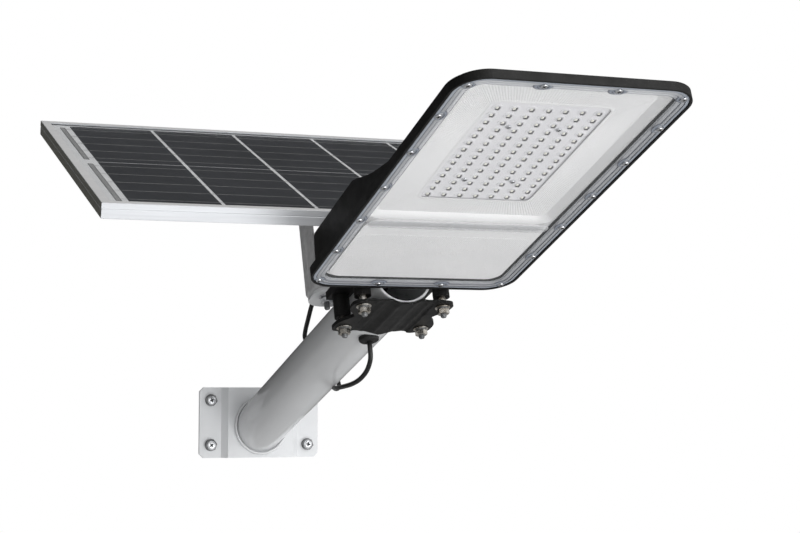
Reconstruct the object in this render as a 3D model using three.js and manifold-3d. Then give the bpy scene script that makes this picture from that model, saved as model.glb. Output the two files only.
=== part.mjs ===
// Solar street lamp on a wall arm: a wall plate and sloping tube, a solar panel on a tilting yoke, and a
// flat LED head clamped round the tube's end. Millimetres, +Z up. The origin is the centre of the wall
// plate's back, +Y runs into the wall, and the arm reaches out along -Y.
import * as THREE from "three";
import { mergeVertices } from "three/addons/utils/BufferGeometryUtils.js";
import Module from "manifold-3d";

const wasm = await Module();
wasm.setup();

// ---- Driving dimensions ----
const GAP = 0.3; // clearance between touching pieces
const RISE = THREE.MathUtils.degToRad(18.2); // the tube's rise from the wall
const PITCH = THREE.MathUtils.degToRad(20); // the head's rise, and the panel's fall to the street at rest

const PLATE = { halfWidth: 75, halfHeight: 42.5, sheet: 3.5, rise: 7, topHalf: 41, footHalf: 48, chamfer: 5 };
const WALL_BOLT = { x: 61, z: 27, radius: 4, hole: 4.4, washer: 8.5, nut: 7.5 };

const AXIS_Z = -7; // height at which the tube's axis meets the wall
const TUBE = { radius: 30, wall: 2.5, end: 515, cableHole: 8.3 };
const BEAD = { wide: 34, narrow: 32, high: 2.4 };
const GROMMET = { x: -3, at: 412, flange: 10.5, sleeve: 8, bore: 3, low: -34, high: -24 };

const SADDLE = { from: 370, to: 424, sheet: 3, earLow: 19.5, earHalf: 55, corner: 20 };
const SADDLE_BOLT = { x: 40, at: 400.5 };
const YOKE = { width: 36, outer: 55.5, sheet: 3, pivotUp: 111, footInner: 29 };
const M8 = { radius: 4, head: 7.5, washer: 8.6, washerThick: 1.6, nutHigh: 6.5, headHigh: 5.5 };

const PANEL = { left: -298, right: 168, depth: 353, height: 15.4, lip: 9, web: 1.6, sheet: 1.5, foot: 16 };
const PANEL_EDGE = new THREE.Vector3(0, -498.7, 211.6); // on the panel's lower front top edge, over the tube
const GLASS = { top: -1.5, thick: 2 };
const CELLS = { top: -3.7, thick: 0.4 };
const BACKSHEET = { top: -4.3, thick: 0.4 };
const REBATE = { top: -1.2, bottom: -5 };
const RAIL = { face: 50, sheet: 2.2, flange: 22, from: 3, to: 350, drop: 12, reach: 38 };
const BOX = { x: -12, halfWidth: 30, from: 222, to: 302, top: -6.4, base: -20, lid: -24 };
const GLAND = { radius: 7.5, thread: 5, length: 18, drop: -15.5 };
const CABLE_RADIUS = 2.5;

const HEAD_Z = -17; // height at which the line of the head's parting plane meets the wall
const HEAD = { rear: 523, front: 932, halfWidth: 105, corner: 28, lip: -24.3, top: -6.7 };
const BROW = { edge: -16.4, side: -14.6, setback: 5, nose: -14.2 }; // top edge of the head's rim
const CROWN = { front: 30, side: 20, rear: 12 }; // how far the head's top slopes in from its rim
const SKIRT = 2.1; // wall thickness of the head's rim
const LENS = { face: -23.1, thick: 2.5, inset: 2.4 };
const GASKET = { top: -18.5, bottom: -20.3, outer: 4, inner: 12 };
const BAY = { inset: 14, ledge: -18.2, step: -16.3, ceiling: -9.6, front: 32, side: 24, rear: 15 };
const REFLECTOR = { inset: 14.6, top: -16.6, bottom: -17.9, skin: 0.7 };
const DESK = { halfWidth: 88, from: 541, to: 664, corner: 14, face: -20.3 }; // raised rear part
const TRAY = { mouth: 15.2, front: 28, side: 21.5, rear: 141, slope: 6, floor: -12.4 }; // sunk front part
const LED_WINDOW = { halfWidth: 54, from: 698, to: 876 };
const LED_BOARD = { halfWidth: 60, from: 690, to: 880, top: -9.9, bottom: -11.3 };
const TRUNK = { halfWidth: 92, wall: 3, low: -14 };
const SCREW_ROW = 536.6; // distance along the head's line of its first pair of cover screws
const HEAD_GLAND = { up: 4, out: 6 };
const CLAMP = { from: 433, to: 526, halfWidth: 52, low: 3, high: 11, foot: -21 };
const CLAMP_BOLT = { x: 41, at: [445.7, 506.7] };
const CLAMP_PLATE = { from: 431, to: 518, top: -27, bottom: -30.5, corner: 12, trough: 34, cradle: -18 };

// ---- Materials ----
const paint = new THREE.MeshStandardMaterial({ color: 0xc4c8cb, roughness: 0.45, metalness: 0.1 });
const zinc = new THREE.MeshStandardMaterial({ color: 0xb9bcc0, roughness: 0.3, metalness: 0.9 });
const galvanised = new THREE.MeshStandardMaterial({ color: 0x8d8f91, roughness: 0.5, metalness: 0.6 });
const aluminium = new THREE.MeshStandardMaterial({ color: 0xc9ccd0, roughness: 0.35, metalness: 0.8 });
const glass = new THREE.MeshStandardMaterial({ color: 0x9aa6ad, roughness: 0.05, metalness: 0 });
const silicon = new THREE.MeshStandardMaterial({ color: 0x3a3c40, roughness: 0.25, metalness: 0.2 });
const whitePlastic = new THREE.MeshStandardMaterial({ color: 0xe9eaec, roughness: 0.5, metalness: 0 });
const blackCasting = new THREE.MeshStandardMaterial({ color: 0x151617, roughness: 0.55, metalness: 0.2 });
const blackPlastic = new THREE.MeshStandardMaterial({ color: 0x101112, roughness: 0.6, metalness: 0 });
const clearPlastic = new THREE.MeshStandardMaterial({ color: 0xd5dde2, roughness: 0.08, metalness: 0 });
const rubber = new THREE.MeshStandardMaterial({ color: 0x0c0d0d, roughness: 0.7, metalness: 0 });
const battery = new THREE.MeshStandardMaterial({ color: 0x2c5f9e, roughness: 0.4, metalness: 0 });
const circuit = new THREE.MeshStandardMaterial({ color: 0x1f5c3a, roughness: 0.5, metalness: 0 });

// ---- Solids ----
function solid(geometry) {
  const bare = geometry.clone();
  bare.deleteAttribute("normal");
  bare.deleteAttribute("uv");
  const merged = mergeVertices(bare, 1e-4);
  const triVerts = new Uint32Array(merged.index.array);
  return new wasm.Manifold(
    new wasm.Mesh({ numProp: 3, vertProperties: merged.attributes.position.array, triVerts }),
  );
}

function join(...pieces) {
  return pieces.reduce((whole, piece) => whole.add(piece));
}

function cut(whole, ...tools) {
  return tools.reduce((left, tool) => left.subtract(tool), whole);
}

// A box from its six limits.
function block(x0, x1, y0, y1, z0, z1) {
  const shape = new THREE.BoxGeometry(x1 - x0, y1 - y0, z1 - z0);
  return shape.translate((x0 + x1) / 2, (y0 + y1) / 2, (z0 + z1) / 2);
}

const UP = new THREE.Vector3(0, 1, 0);

// A cylinder, cone or regular prism from one point to another.
function rod(from, to, radiusFrom, radiusTo = radiusFrom, sides = 24) {
  const start = new THREE.Vector3(...from);
  const along = new THREE.Vector3(...to).sub(start);
  const shape = new THREE.CylinderGeometry(radiusTo, radiusFrom, along.length(), sides);
  shape.translate(0, along.length() / 2, 0);
  shape.applyQuaternion(new THREE.Quaternion().setFromUnitVectors(UP, along.clone().normalize()));
  return shape.translate(start.x, start.y, start.z);
}

function extrude(shape, depth) {
  return new THREE.ExtrudeGeometry(shape, { depth, bevelEnabled: false, steps: 1, curveSegments: 6 });
}

function outline(points) {
  return new THREE.Shape(points.map(([a, b]) => new THREE.Vector2(a, b)));
}

// A flat outline in x and y, from z0 up to z1.
function slab(shape, z0, z1) {
  return extrude(shape, z1 - z0).translate(0, 0, z0);
}

const ALONG_X = new THREE.Matrix4().makeBasis(
  new THREE.Vector3(0, 1, 0),
  new THREE.Vector3(0, 0, 1),
  new THREE.Vector3(1, 0, 0),
);
const ALONG_Y = new THREE.Matrix4().makeBasis(
  new THREE.Vector3(1, 0, 0),
  new THREE.Vector3(0, 0, 1),
  new THREE.Vector3(0, -1, 0),
);

// A section given in y and z, swept from x0 to x1.
function sweepX(shape, x0, x1) {
  return extrude(shape, x1 - x0).applyMatrix4(ALONG_X).translate(x0, 0, 0);
}

// A section given in x and z, swept from y0 to y1.
function sweepY(shape, y0, y1) {
  return extrude(shape, y1 - y0).applyMatrix4(ALONG_Y).translate(0, y1, 0);
}

// A closed body through level rings of points, each ring with the same count, from the lowest up.
function stack(rings) {
  const count = rings[0].length;
  const last = (rings.length - 1) * count;
  const index = [];
  for (let level = 0; level < last; level += count) {
    for (let i = 0; i < count; i += 1) {
      const j = (i + 1) % count;
      index.push(level + i, level + j, level + count + j);
      index.push(level + i, level + count + j, level + count + i);
    }
  }
  for (let i = 1; i < count - 1; i += 1) {
    index.push(0, i + 1, i);
    index.push(last, last + i, last + i + 1);
  }
  const geometry = new THREE.BufferGeometry();
  geometry.setAttribute("position", new THREE.Float32BufferAttribute(rings.flat(2), 3));
  geometry.setIndex(index);
  geometry.computeVertexNormals();
  return geometry;
}

function roundedRectangle(x0, x1, y0, y1, radius) {
  const shape = new THREE.Shape();
  shape.moveTo(x0 + radius, y0);
  shape.lineTo(x1 - radius, y0);
  shape.absarc(x1 - radius, y0 + radius, radius, -Math.PI / 2, 0);
  shape.lineTo(x1, y1 - radius);
  shape.absarc(x1 - radius, y1 - radius, radius, 0, Math.PI / 2);
  shape.lineTo(x0 + radius, y1);
  shape.absarc(x0 + radius, y1 - radius, radius, Math.PI / 2, Math.PI);
  shape.lineTo(x0, y0 + radius);
  shape.absarc(x0 + radius, y0 + radius, radius, Math.PI, 1.5 * Math.PI);
  return shape;
}

function add(parent, name, body, material) {
  const { vertProperties, triVerts } = body.getMesh();
  const geometry = new THREE.BufferGeometry();
  geometry.setAttribute("position", new THREE.BufferAttribute(new Float32Array(vertProperties), 3));
  geometry.setIndex(new THREE.BufferAttribute(new Uint32Array(triVerts), 1));
  geometry.computeVertexNormals();
  const mesh = new THREE.Mesh(geometry, material);
  mesh.name = name;
  parent.add(mesh);
}

// ---- Frames ----
const lamp = new THREE.Group();
// In the arm's frame the tube runs along -y from the wall and z is square to it, away from the ground.
const arm = new THREE.Group();
arm.position.set(0, 0, AXIS_Z);
arm.rotation.x = -RISE;
lamp.add(arm);
arm.updateMatrixWorld(true);
const intoArm = arm.matrixWorld.clone().invert();
// The head's frame is laid out like the arm's, but pitched a little steeper.
const head = new THREE.Group();
head.position.set(0, 0, HEAD_Z);
head.rotation.x = -PITCH;
lamp.add(head);
head.updateMatrixWorld(true);
const armToHead = head.matrixWorld.clone().invert().multiply(arm.matrixWorld);
// In the panel's frame y climbs the slope from the lower front edge, and z is square to the glass.
const panel = new THREE.Group();
panel.position.copy(PANEL_EDGE);
panel.rotation.x = PITCH;
lamp.add(panel);
panel.updateMatrixWorld(true);
const pivot = new THREE.Vector3(0, -SADDLE_BOLT.at, YOKE.pivotUp).applyMatrix4(arm.matrixWorld);
const pivotOnPanel = pivot.clone().applyMatrix4(panel.matrixWorld.clone().invert());

// ---- Wall plate, its bolts, the tube and its weld ----
function wallPlate() {
  const { halfWidth, halfHeight, sheet, rise, topHalf, footHalf, chamfer } = PLATE;
  const innerTop = topHalf - 1.5;
  const innerFoot = footHalf - 1.5;
  const section = outline([
    [-halfWidth, 0],
    [-halfWidth, -sheet],
    [-footHalf, -sheet],
    [-topHalf, -sheet - rise],
    [topHalf, -sheet - rise],
    [footHalf, -sheet],
    [halfWidth, -sheet],
    [halfWidth, 0],
    [innerFoot, 0],
    [innerTop, -rise],
    [-innerTop, -rise],
    [-innerFoot, 0],
  ]);
  const corners = outline([
    [-halfWidth + chamfer, -halfHeight],
    [halfWidth - chamfer, -halfHeight],
    [halfWidth, -halfHeight + chamfer],
    [halfWidth, halfHeight - chamfer],
    [halfWidth - chamfer, halfHeight],
    [-halfWidth + chamfer, halfHeight],
    [-halfWidth, halfHeight - chamfer],
    [-halfWidth, -halfHeight + chamfer],
  ]);
  const sheetMetal = solid(slab(section, -halfHeight, halfHeight));
  const bounds = solid(sweepY(corners, -2 * (sheet + rise), sheet));
  return cut(sheetMetal.intersect(bounds), ...wallBoltPlaces().map(([x, z]) => boltHole(x, z)));
}

function wallBoltPlaces() {
  return [-1, 1].flatMap((side) => [1, -1].map((row) => [side * WALL_BOLT.x, row * WALL_BOLT.z]));
}

function boltHole(x, z) {
  return solid(rod([x, 10, z], [x, -10, z], WALL_BOLT.hole));
}

function wallBolt(x, z) {
  const face = -PLATE.sheet - GAP;
  const onWasher = face - M8.washerThick;
  const onNut = onWasher - M8.nutHigh;
  return join(
    solid(rod([x, face, z], [x, onWasher, z], WALL_BOLT.washer)),
    solid(rod([x, onWasher + 0.1, z], [x, onNut, z], WALL_BOLT.nut, WALL_BOLT.nut, 6)),
    solid(rod([x, -GAP, z], [x, onNut - 2.2, z], WALL_BOLT.radius, WALL_BOLT.radius, 16)),
  );
}

const plateFace = -PLATE.sheet - PLATE.rise - GAP;

// Everything on the wall's side of a plane at y, in the arm's frame.
function wallSideOf(y) {
  return solid(block(-200, 200, y, 200, -200, 200).applyMatrix4(intoArm));
}

function armTube() {
  const outer = solid(rod([0, 60, 0], [0, -TUBE.end, 0], TUBE.radius, TUBE.radius, 48));
  const bore = TUBE.radius - TUBE.wall;
  const inner = solid(rod([0, 70, 0], [0, -TUBE.end - 10, 0], bore, bore, 48));
  const hole = solid(rod([GROMMET.x, -GROMMET.at, -50], [GROMMET.x, -GROMMET.at, 0], TUBE.cableHole));
  return cut(outer, inner, wallSideOf(plateFace), hole);
}

const ROUND_TUBE = solid(
  rod([0, 60, 0], [0, -TUBE.end - 40, 0], TUBE.radius + GAP, TUBE.radius + GAP, 48),
);

// The weld bead round the tube's foot, in two steps.
function weldBead() {
  const step = (radius, high) => {
    const bead = solid(rod([0, 60, 0], [0, -60, 0], radius, radius, 48));
    return cut(bead, wallSideOf(plateFace)).intersect(wallSideOf(plateFace - high));
  };
  return cut(join(step(BEAD.wide, BEAD.high), step(BEAD.narrow, 2 * BEAD.high)), ROUND_TUBE);
}

function tubeGrommet() {
  const at = (z) => [GROMMET.x, -GROMMET.at, z];
  const flange = solid(rod(at(GROMMET.low), at(GROMMET.high - 1), GROMMET.flange));
  const sleeve = solid(rod(at(GROMMET.low + 1), at(GROMMET.high), GROMMET.sleeve));
  const bore = solid(rod(at(-60), at(0), GROMMET.bore));
  return cut(join(flange.subtract(ROUND_TUBE), sleeve), bore);
}

add(lamp, "wall_plate", wallPlate(), paint);
wallBoltPlaces().forEach(([x, z], i) => add(lamp, `wall_bolt_${i + 1}`, wallBolt(x, z), zinc));
add(arm, "arm_tube", armTube(), paint);
add(arm, "weld_bead", weldBead(), paint);
add(arm, "tube_grommet", tubeGrommet(), rubber);

// ---- Saddle over the tube, and the yoke that carries the panel ----
function panelSaddle() {
  const { from, to, sheet, earLow, earHalf, corner } = SADDLE;
  const hoop = TUBE.radius + GAP + sheet;
  const over = solid(rod([0, -from, 0], [0, -to, 0], hoop, hoop, 48));
  const upper = solid(block(-60, 60, -to - 1, -from + 1, earLow, 60));
  const ears = solid(slab(roundedRectangle(-earHalf, earHalf, -to, -from, corner), earLow, earLow + sheet));
  const holes = [-1, 1].map((side) => {
    const x = side * SADDLE_BOLT.x;
    return solid(rod([x, -SADDLE_BOLT.at, 0], [x, -SADDLE_BOLT.at, 40], M8.radius + GAP));
  });
  return cut(join(over.intersect(upper), ears), ROUND_TUBE, ...holes);
}

const FOOT_LOW = SADDLE.earLow + SADDLE.sheet + GAP;

function yokeArm(side) {
  const { width, outer, sheet, pivotUp, footInner } = YOKE;
  const near = -SADDLE_BOLT.at - width / 2;
  const far = -SADDLE_BOLT.at + width / 2;
  const [x0, x1] = [side * outer, side * (outer - sheet)].sort((a, b) => a - b);
  const [f0, f1] = [side * outer, side * footInner].sort((a, b) => a - b);
  const [r0, r1] = [side * (outer - 0.2), side * (outer - sheet + 0.2)].sort((a, b) => a - b);
  const upright = outline([
    [near, FOOT_LOW],
    [far, FOOT_LOW],
    [far, pivotUp],
    [near, pivotUp],
  ]);
  const boltHoleX = side * SADDLE_BOLT.x;
  return cut(
    join(
      solid(sweepX(upright, x0, x1)),
      solid(rod([x0, -SADDLE_BOLT.at, pivotUp], [x1, -SADDLE_BOLT.at, pivotUp], width / 2, width / 2, 32)),
      solid(block(f0, f1, near, far, FOOT_LOW, FOOT_LOW + sheet)),
      solid(block(r0, r1, near + 8, far - 8, FOOT_LOW + 10, pivotUp - 20)),
    ),
    solid(rod([x0 - 9, -SADDLE_BOLT.at, pivotUp], [x1 + 9, -SADDLE_BOLT.at, pivotUp], M8.radius + GAP)),
    solid(rod([boltHoleX, -SADDLE_BOLT.at, 10], [boltHoleX, -SADDLE_BOLT.at, 40], M8.radius + GAP)),
  );
}

// A bolt through a stack from the seat of its head to the face that its nut bears on, along one axis.
function clampedBolt(place, along, headSeat, nutFace, tail) {
  const way = Math.sign(nutFace - headSeat);
  const at = (distance) => place.clone().addScaledVector(along, distance).toArray();
  const hex = (from, to) => solid(rod(at(from), at(to), M8.head, M8.head, 6));
  const washer = nutFace + way * (GAP + M8.washerThick);
  return join(
    hex(headSeat - way * GAP, headSeat - way * (GAP + M8.headHigh)),
    solid(rod(at(headSeat - way * (GAP + 1)), at(nutFace + way * tail), M8.radius, M8.radius, 16)),
    solid(rod(at(nutFace + way * GAP), at(washer), M8.washer)),
    hex(washer - way * 0.1, washer + way * M8.nutHigh),
  );
}

const Z_AXIS = new THREE.Vector3(0, 0, 1);
const X_AXIS = new THREE.Vector3(1, 0, 0);
const SIDES = [
  ["left", -1],
  ["right", 1],
];

add(arm, "panel_saddle", panelSaddle(), paint);
for (const [word, side] of SIDES) {
  const footTop = FOOT_LOW + YOKE.sheet;
  const place = new THREE.Vector3(side * SADDLE_BOLT.x, -SADDLE_BOLT.at, 0);
  add(arm, `yoke_arm_${word}`, yokeArm(side), galvanised);
  add(arm, `saddle_bolt_${word}`, clampedBolt(place, Z_AXIS, footTop, SADDLE.earLow, 14.5), zinc);
}

// ---- Panel: rails, frame, glass, cells, backsheet, junction box ----
const railOuter = RAIL.face + RAIL.sheet;

function panelRail(side) {
  const { face, sheet, flange, from, to, drop, reach } = RAIL;
  const top = -PANEL.height - GAP;
  const hub = pivotOnPanel;
  const web = outline([
    [from + 45, top],
    [from + 45, top - drop],
    [hub.y - reach, top - drop],
    [hub.y - 14, hub.z - 9],
    [hub.y - 7, hub.z - 13],
    [hub.y + 7, hub.z - 13],
    [hub.y + 14, hub.z - 9],
    [hub.y + reach, top - drop],
    [to - 25, top - drop],
    [to - 25, top],
  ]);
  const [w0, w1] = [side * face, side * railOuter].sort((a, b) => a - b);
  const [f0, f1] = [side * face, side * (face + flange)].sort((a, b) => a - b);
  return cut(
    join(solid(sweepX(web, w0, w1)), solid(block(f0, f1, from, to, top - sheet, top))),
    solid(rod([w0 - 9, hub.y, hub.z], [w1 + 9, hub.y, hub.z], M8.radius + GAP)),
  );
}

// A frame member's section: u runs in from the outer face and h is below the top of the frame.
function frameSection() {
  const { lip, web, sheet, foot, height } = PANEL;
  return [
    [0, 0],
    [0, -height],
    [foot, -height],
    [foot, -height + sheet],
    [web, -height + sheet],
    [web, REBATE.bottom - sheet],
    [lip, REBATE.bottom - sheet],
    [lip, REBATE.bottom],
    [web, REBATE.bottom],
    [web, REBATE.top],
    [lip, REBATE.top],
    [lip, 0],
  ];
}

// The part of the panel's plan that belongs to one side once the corners are mitred.
function mitre(side) {
  const { left: x0, right: x1, depth } = PANEL;
  const deep = PANEL.foot + 4;
  const slack = GAP / 2;
  const turned = (plan) => plan.map(([a, b]) => [x0 + x1 - a, depth - b]);
  const front = [
    [x0 + slack, 0],
    [x1 - slack, 0],
    [x1 - slack - deep, deep],
    [x0 + slack + deep, deep],
  ];
  const left = [
    [x0, slack],
    [x0 + deep, slack + deep],
    [x0 + deep, depth - slack - deep],
    [x0, depth - slack],
  ];
  const plans = { front, back: turned(front), left, right: turned(left) };
  return solid(slab(outline(plans[side]), -PANEL.height - 1, 1));
}

function frameMember(side) {
  const section = frameSection();
  const { left: x0, right: x1, depth } = PANEL;
  const bars = {
    front: () => sweepX(outline(section), x0, x1),
    back: () => sweepX(outline(section.map(([u, h]) => [depth - u, h]).reverse()), x0, x1),
    left: () => sweepY(outline(section.map(([u, h]) => [x0 + u, h])), 0, depth),
    right: () => sweepY(outline(section.map(([u, h]) => [x1 - u, h]).reverse()), 0, depth),
  };
  return solid(bars[side]()).intersect(mitre(side));
}

function sheetInFrame(layer) {
  const inset = PANEL.web + GAP;
  const { left, right, depth } = PANEL;
  return solid(block(left + inset, right - inset, inset, depth - inset, layer.top - layer.thick, layer.top));
}

const box = { x0: BOX.x - BOX.halfWidth, x1: BOX.x + BOX.halfWidth };

function junctionBox() {
  const wall = 2;
  return cut(
    solid(slab(roundedRectangle(box.x0, box.x1, BOX.from, BOX.to, 4), BOX.base, BOX.top)),
    solid(block(box.x0 + wall, box.x1 - wall, BOX.from + wall, BOX.to - wall, BOX.base - 1, BOX.top - wall)),
    solid(rod([BOX.x, BOX.from - 5, GLAND.drop], [BOX.x, BOX.from + 9, GLAND.drop], GLAND.thread + GAP)),
    solid(block(BOX.x - 5.3, BOX.x + 5.3, BOX.from - 1, BOX.from + wall + 1, BOX.base - 1, GLAND.drop)),
  );
}

function junctionLid() {
  return solid(slab(roundedRectangle(box.x0, box.x1, BOX.from, BOX.to, 4), BOX.lid, BOX.base - GAP));
}

function cableGland() {
  const { radius, thread, length, drop } = GLAND;
  const at = (y) => [BOX.x, BOX.from + y, drop];
  return cut(
    join(
      solid(rod(at(-GAP), at(-6), radius, radius, 6)),
      solid(rod(at(-5.9), at(-length + 5), radius - 0.8)),
      solid(rod(at(-length + 5.1), at(-length), radius - 0.8, radius - 3)),
      solid(rod(at(-1), at(6), thread - 0.6)),
    ),
    solid(rod(at(-length - 5), at(12), CABLE_RADIUS + GAP)),
  );
}

for (const [word, side] of SIDES) {
  add(panel, `panel_rail_${word}`, panelRail(side), galvanised);
  const start = new THREE.Vector3(0, pivotOnPanel.y, pivotOnPanel.z);
  const bolt = clampedBolt(start, X_AXIS, side * YOKE.outer, side * RAIL.face, 10);
  add(panel, `pivot_bolt_${word}`, bolt, zinc);
}
for (const side of ["front", "back", "left", "right"]) {
  add(panel, `panel_frame_${side}`, frameMember(side), aluminium);
}
add(panel, "panel_glass", sheetInFrame(GLASS), glass);
add(panel, "solar_cells", sheetInFrame(CELLS), silicon);
add(panel, "panel_backsheet", sheetInFrame(BACKSHEET), whitePlastic);
add(panel, "junction_box", junctionBox(), blackPlastic);
add(panel, "junction_lid", junctionLid(), blackPlastic);
add(panel, "cable_gland", cableGland(), blackPlastic);

// ---- Cable from the junction box, over the tube and back up into it ----
const CABLE_ROUTE = [
  [-12, -301.4, 266.7],
  [-12, -311, 263],
  [-12, -318, 253],
  [-13, -319.5, 235],
  [-14, -315, 215],
  [-15, -306, 195.5],
  [-16, -295, 177],
  [-17, -283, 160],
  [-17, -270, 144.5],
  [-17, -255.5, 130],
  [-15.5, -240, 117],
  [-12.5, -222, 106],
  [-7, -203.5, 98],
  [3, -188, 91],
  [16, -178, 83.5],
  [27.5, -176, 72.5],
  [33.5, -184, 61],
  [33.5, -199, 50.5],
  [28, -219, 44.5],
  [19.5, -240, 42],
  [10, -261, 41.5],
  [1.5, -280, 42.5],
  [-4, -298, 42.5],
  [-6.5, -317, 43],
  [-6.5, -337, 44.5],
  [-5, -356.5, 47],
  [-3, -375, 52],
  [-1.5, -391, 60.5],
  [-1.5, -401.5, 71.5],
  [-2.8, -404.3, 83],
  [-3, -401.2, 91.9],
];

function cableSection(sides) {
  const ring = Array.from({ length: sides }, (_, i) => (2 * Math.PI * i) / sides);
  return outline(ring.map((turn) => [CABLE_RADIUS * Math.cos(turn), CABLE_RADIUS * Math.sin(turn)]));
}

function cableAlong(points, steps) {
  const extrudePath = new THREE.CatmullRomCurve3(points.map((point) => new THREE.Vector3(...point)));
  return solid(new THREE.ExtrudeGeometry(cableSection(10), { steps, bevelEnabled: false, extrudePath }));
}

// Inside the tube the lead turns from the grommet on to the tube's axis and runs to the head's gland.
function innerLead() {
  const start = GROMMET.high + 0.2;
  const bend = Array.from({ length: 7 }, (_, i) => {
    const turn = (Math.PI / 2) * (i / 6);
    return [GROMMET.x, -GROMMET.at + start * (1 - Math.cos(turn)), start * (1 - Math.sin(turn))];
  });
  const gland = new THREE.Vector3(0, -HEAD.rear + HEAD_GLAND.out + 1, HEAD_GLAND.up);
  const end = gland.applyMatrix4(armToHead.clone().invert()).toArray();
  return cableAlong([...bend, [-1.5, -GROMMET.at - 50, 1.5], [0, end[1] + 18, end[2] - 0.5], end], 24);
}

add(lamp, "panel_cable", cableAlong(CABLE_ROUTE, 46), rubber);
add(arm, "inner_lead", innerLead(), rubber);

// ---- Head: housing, clamp, lens, gasket, reflector, LEDs and what is inside ----
const CORNER_STEPS = 8;

function headOutline(inset) {
  const { rear, front, halfWidth, corner } = HEAD;
  const x = halfWidth - inset;
  return roundedRectangle(-x, x, -front + inset, -rear - inset, Math.max(corner - inset, 8));
}

// The head's outline at one level, with its own inset at the front, the sides and the rear.
function headRing(front, side, rear, level) {
  const x = HEAD.halfWidth - side;
  const radius = Math.max(HEAD.corner - side, 8);
  const shape = roundedRectangle(-x, x, -HEAD.front + front, -HEAD.rear - rear, radius);
  return shape.extractPoints(CORNER_STEPS).shape.map((point) => [point.x, point.y, level]);
}

// The rear compartment's profile along the arm, grown inwards by a wall thickness.
function trunkProfile(wall) {
  const points = [
    [525.3 + wall, TRUNK.low],
    [531 + wall, 23.5 - wall],
    [534 + wall, 26.5 - wall],
    [648 - wall / 2, 26.5 - wall],
    [660 - wall, 23.2 - wall],
    [672 - wall, 18.6 - wall],
    [684 - wall, 14.3 - wall],
    [700 - wall, 9.6 - wall],
    [718 - wall, 5.6 - wall],
    [740 - wall, 1 - wall],
    [768 - wall, -4 - wall],
    [800 - wall, TRUNK.low],
  ];
  return outline(points.map(([t, n]) => [-t, n]).reverse());
}

// A solid of the head, from a shape given in the arm's frame.
function onHead(geometry) {
  return solid(geometry.applyMatrix4(armToHead));
}

// The upper half of the tube clamp, in the arm's frame until onHead() carries it over.
function clampTop() {
  const { from, to, halfWidth, low, high, foot } = CLAMP;
  const hump = TUBE.radius + 7;
  const arch = onHead(rod([0, -from, 0], [0, -to, 0], hump, hump, 48));
  const upper = onHead(block(-60, 60, -to, -from, low, 60));
  const bosses = atClampBolts(onHead, 8.4, foot, high);
  const flange = onHead(block(-halfWidth, halfWidth, -to, -from, low, high));
  const seats = atClampBolts(onHead, 9, high, 45);
  return cut(join(arch.intersect(upper), flange, ...bosses), ...seats);
}

// One upright cylinder on each of the clamp's four bolt places.
function atClampBolts(makeSolid, radius, bottom, top) {
  return [-1, 1].flatMap((side) =>
    CLAMP_BOLT.at.map((at) => {
      const x = side * CLAMP_BOLT.x;
      return makeSolid(rod([x, -at, bottom], [x, -at, top], radius));
    }),
  );
}

function headHousing() {
  const { lip, top, rear } = HEAD;
  const { halfWidth, wall } = TRUNK;
  const shell = stack([
    headRing(0, 0, 0, lip),
    headRing(0, 0, 0, BROW.edge),
    headRing(BROW.setback, 0, 0, BROW.side),
    headRing(BROW.setback + 1, 1, 1, BROW.nose),
    headRing(CROWN.front, CROWN.side, CROWN.rear, top),
  ]);
  const bay = stack([
    headRing(BAY.inset, BAY.inset, BAY.inset, BAY.ledge - 1),
    headRing(BAY.inset, BAY.inset, BAY.inset, BAY.step),
    headRing(BAY.front, BAY.side, BAY.rear, BAY.ceiling),
  ]);
  const outer = join(
    solid(shell),
    solid(sweepX(trunkProfile(0), -halfWidth, halfWidth)),
    clampTop(),
  );
  const tubeEnd = TUBE.radius + GAP;
  const glandAt = (y) => [0, -rear + y, HEAD_GLAND.up];
  return cut(
    outer,
    onHead(rod([0, 0, 0], [0, -TUBE.end - 2, 0], tubeEnd, tubeEnd, 48)),
    solid(slab(headOutline(SKIRT), lip - 1, BAY.ledge)),
    solid(bay),
    solid(sweepX(trunkProfile(wall), wall - halfWidth, halfWidth - wall)),
    solid(rod(glandAt(8), glandAt(-20), 6.3)),
    solid(rod(glandAt(8), glandAt(-3.2), 9.2)),
    ...atClampBolts(onHead, M8.radius + GAP, -60, 30),
  );
}

function clampPlate() {
  const { from, to, top, bottom, corner, trough, cradle } = CLAMP_PLATE;
  const x = CLAMP.halfWidth;
  const cheeks = [-1, 1].map((side) => {
    const [c0, c1] = [side * 17, side * 25].sort((a, b) => a - b);
    return solid(block(c0, c1, -to, -from, top - 0.5, cradle));
  });
  const sheet = solid(slab(roundedRectangle(-x, x, -to, -from, corner), bottom, top));
  const belly = solid(rod([0, -from, 0], [0, -to, 0], trough, trough, 48));
  const low = solid(block(-x, x, -to, -from, -trough - 1, top));
  return cut(
    join(sheet, belly.intersect(low), ...cheeks),
    ROUND_TUBE,
    ...atClampBolts(solid, M8.radius + GAP, -60, 30),
  );
}

function coverScrewPlaces() {
  const sideRows = [67.6, 134.4, 200, 265.9, 329.3];
  const places = sideRows.flatMap((v) => [-98.7, 98.7].map((x) => [x, v]));
  places.push(...[0, 379.9].flatMap((v) => [-93.9, 93.9].map((x) => [x, v])));
  places.push(...[-5, 386.3].flatMap((v) => [-32.4, 32.4].map((x) => [x, v])));
  return places;
}

// The clear cover, with the heads of its screws standing on their bosses.
function lensCover() {
  const { face, thick, inset } = LENS;
  const sheet = solid(slab(headOutline(inset), face, face + thick));
  const heads = coverScrewPlaces().map(([x, v]) =>
    solid(rod([x, -SCREW_ROW - v, face - 1.9], [x, -SCREW_ROW - v, face + 0.5], 3.3, 3.3, 8)),
  );
  return join(sheet, ...heads);
}

function ring(outer, inner, low, high) {
  return cut(solid(slab(headOutline(outer), low, high)), solid(slab(headOutline(inner), low - 1, high + 1)));
}

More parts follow.
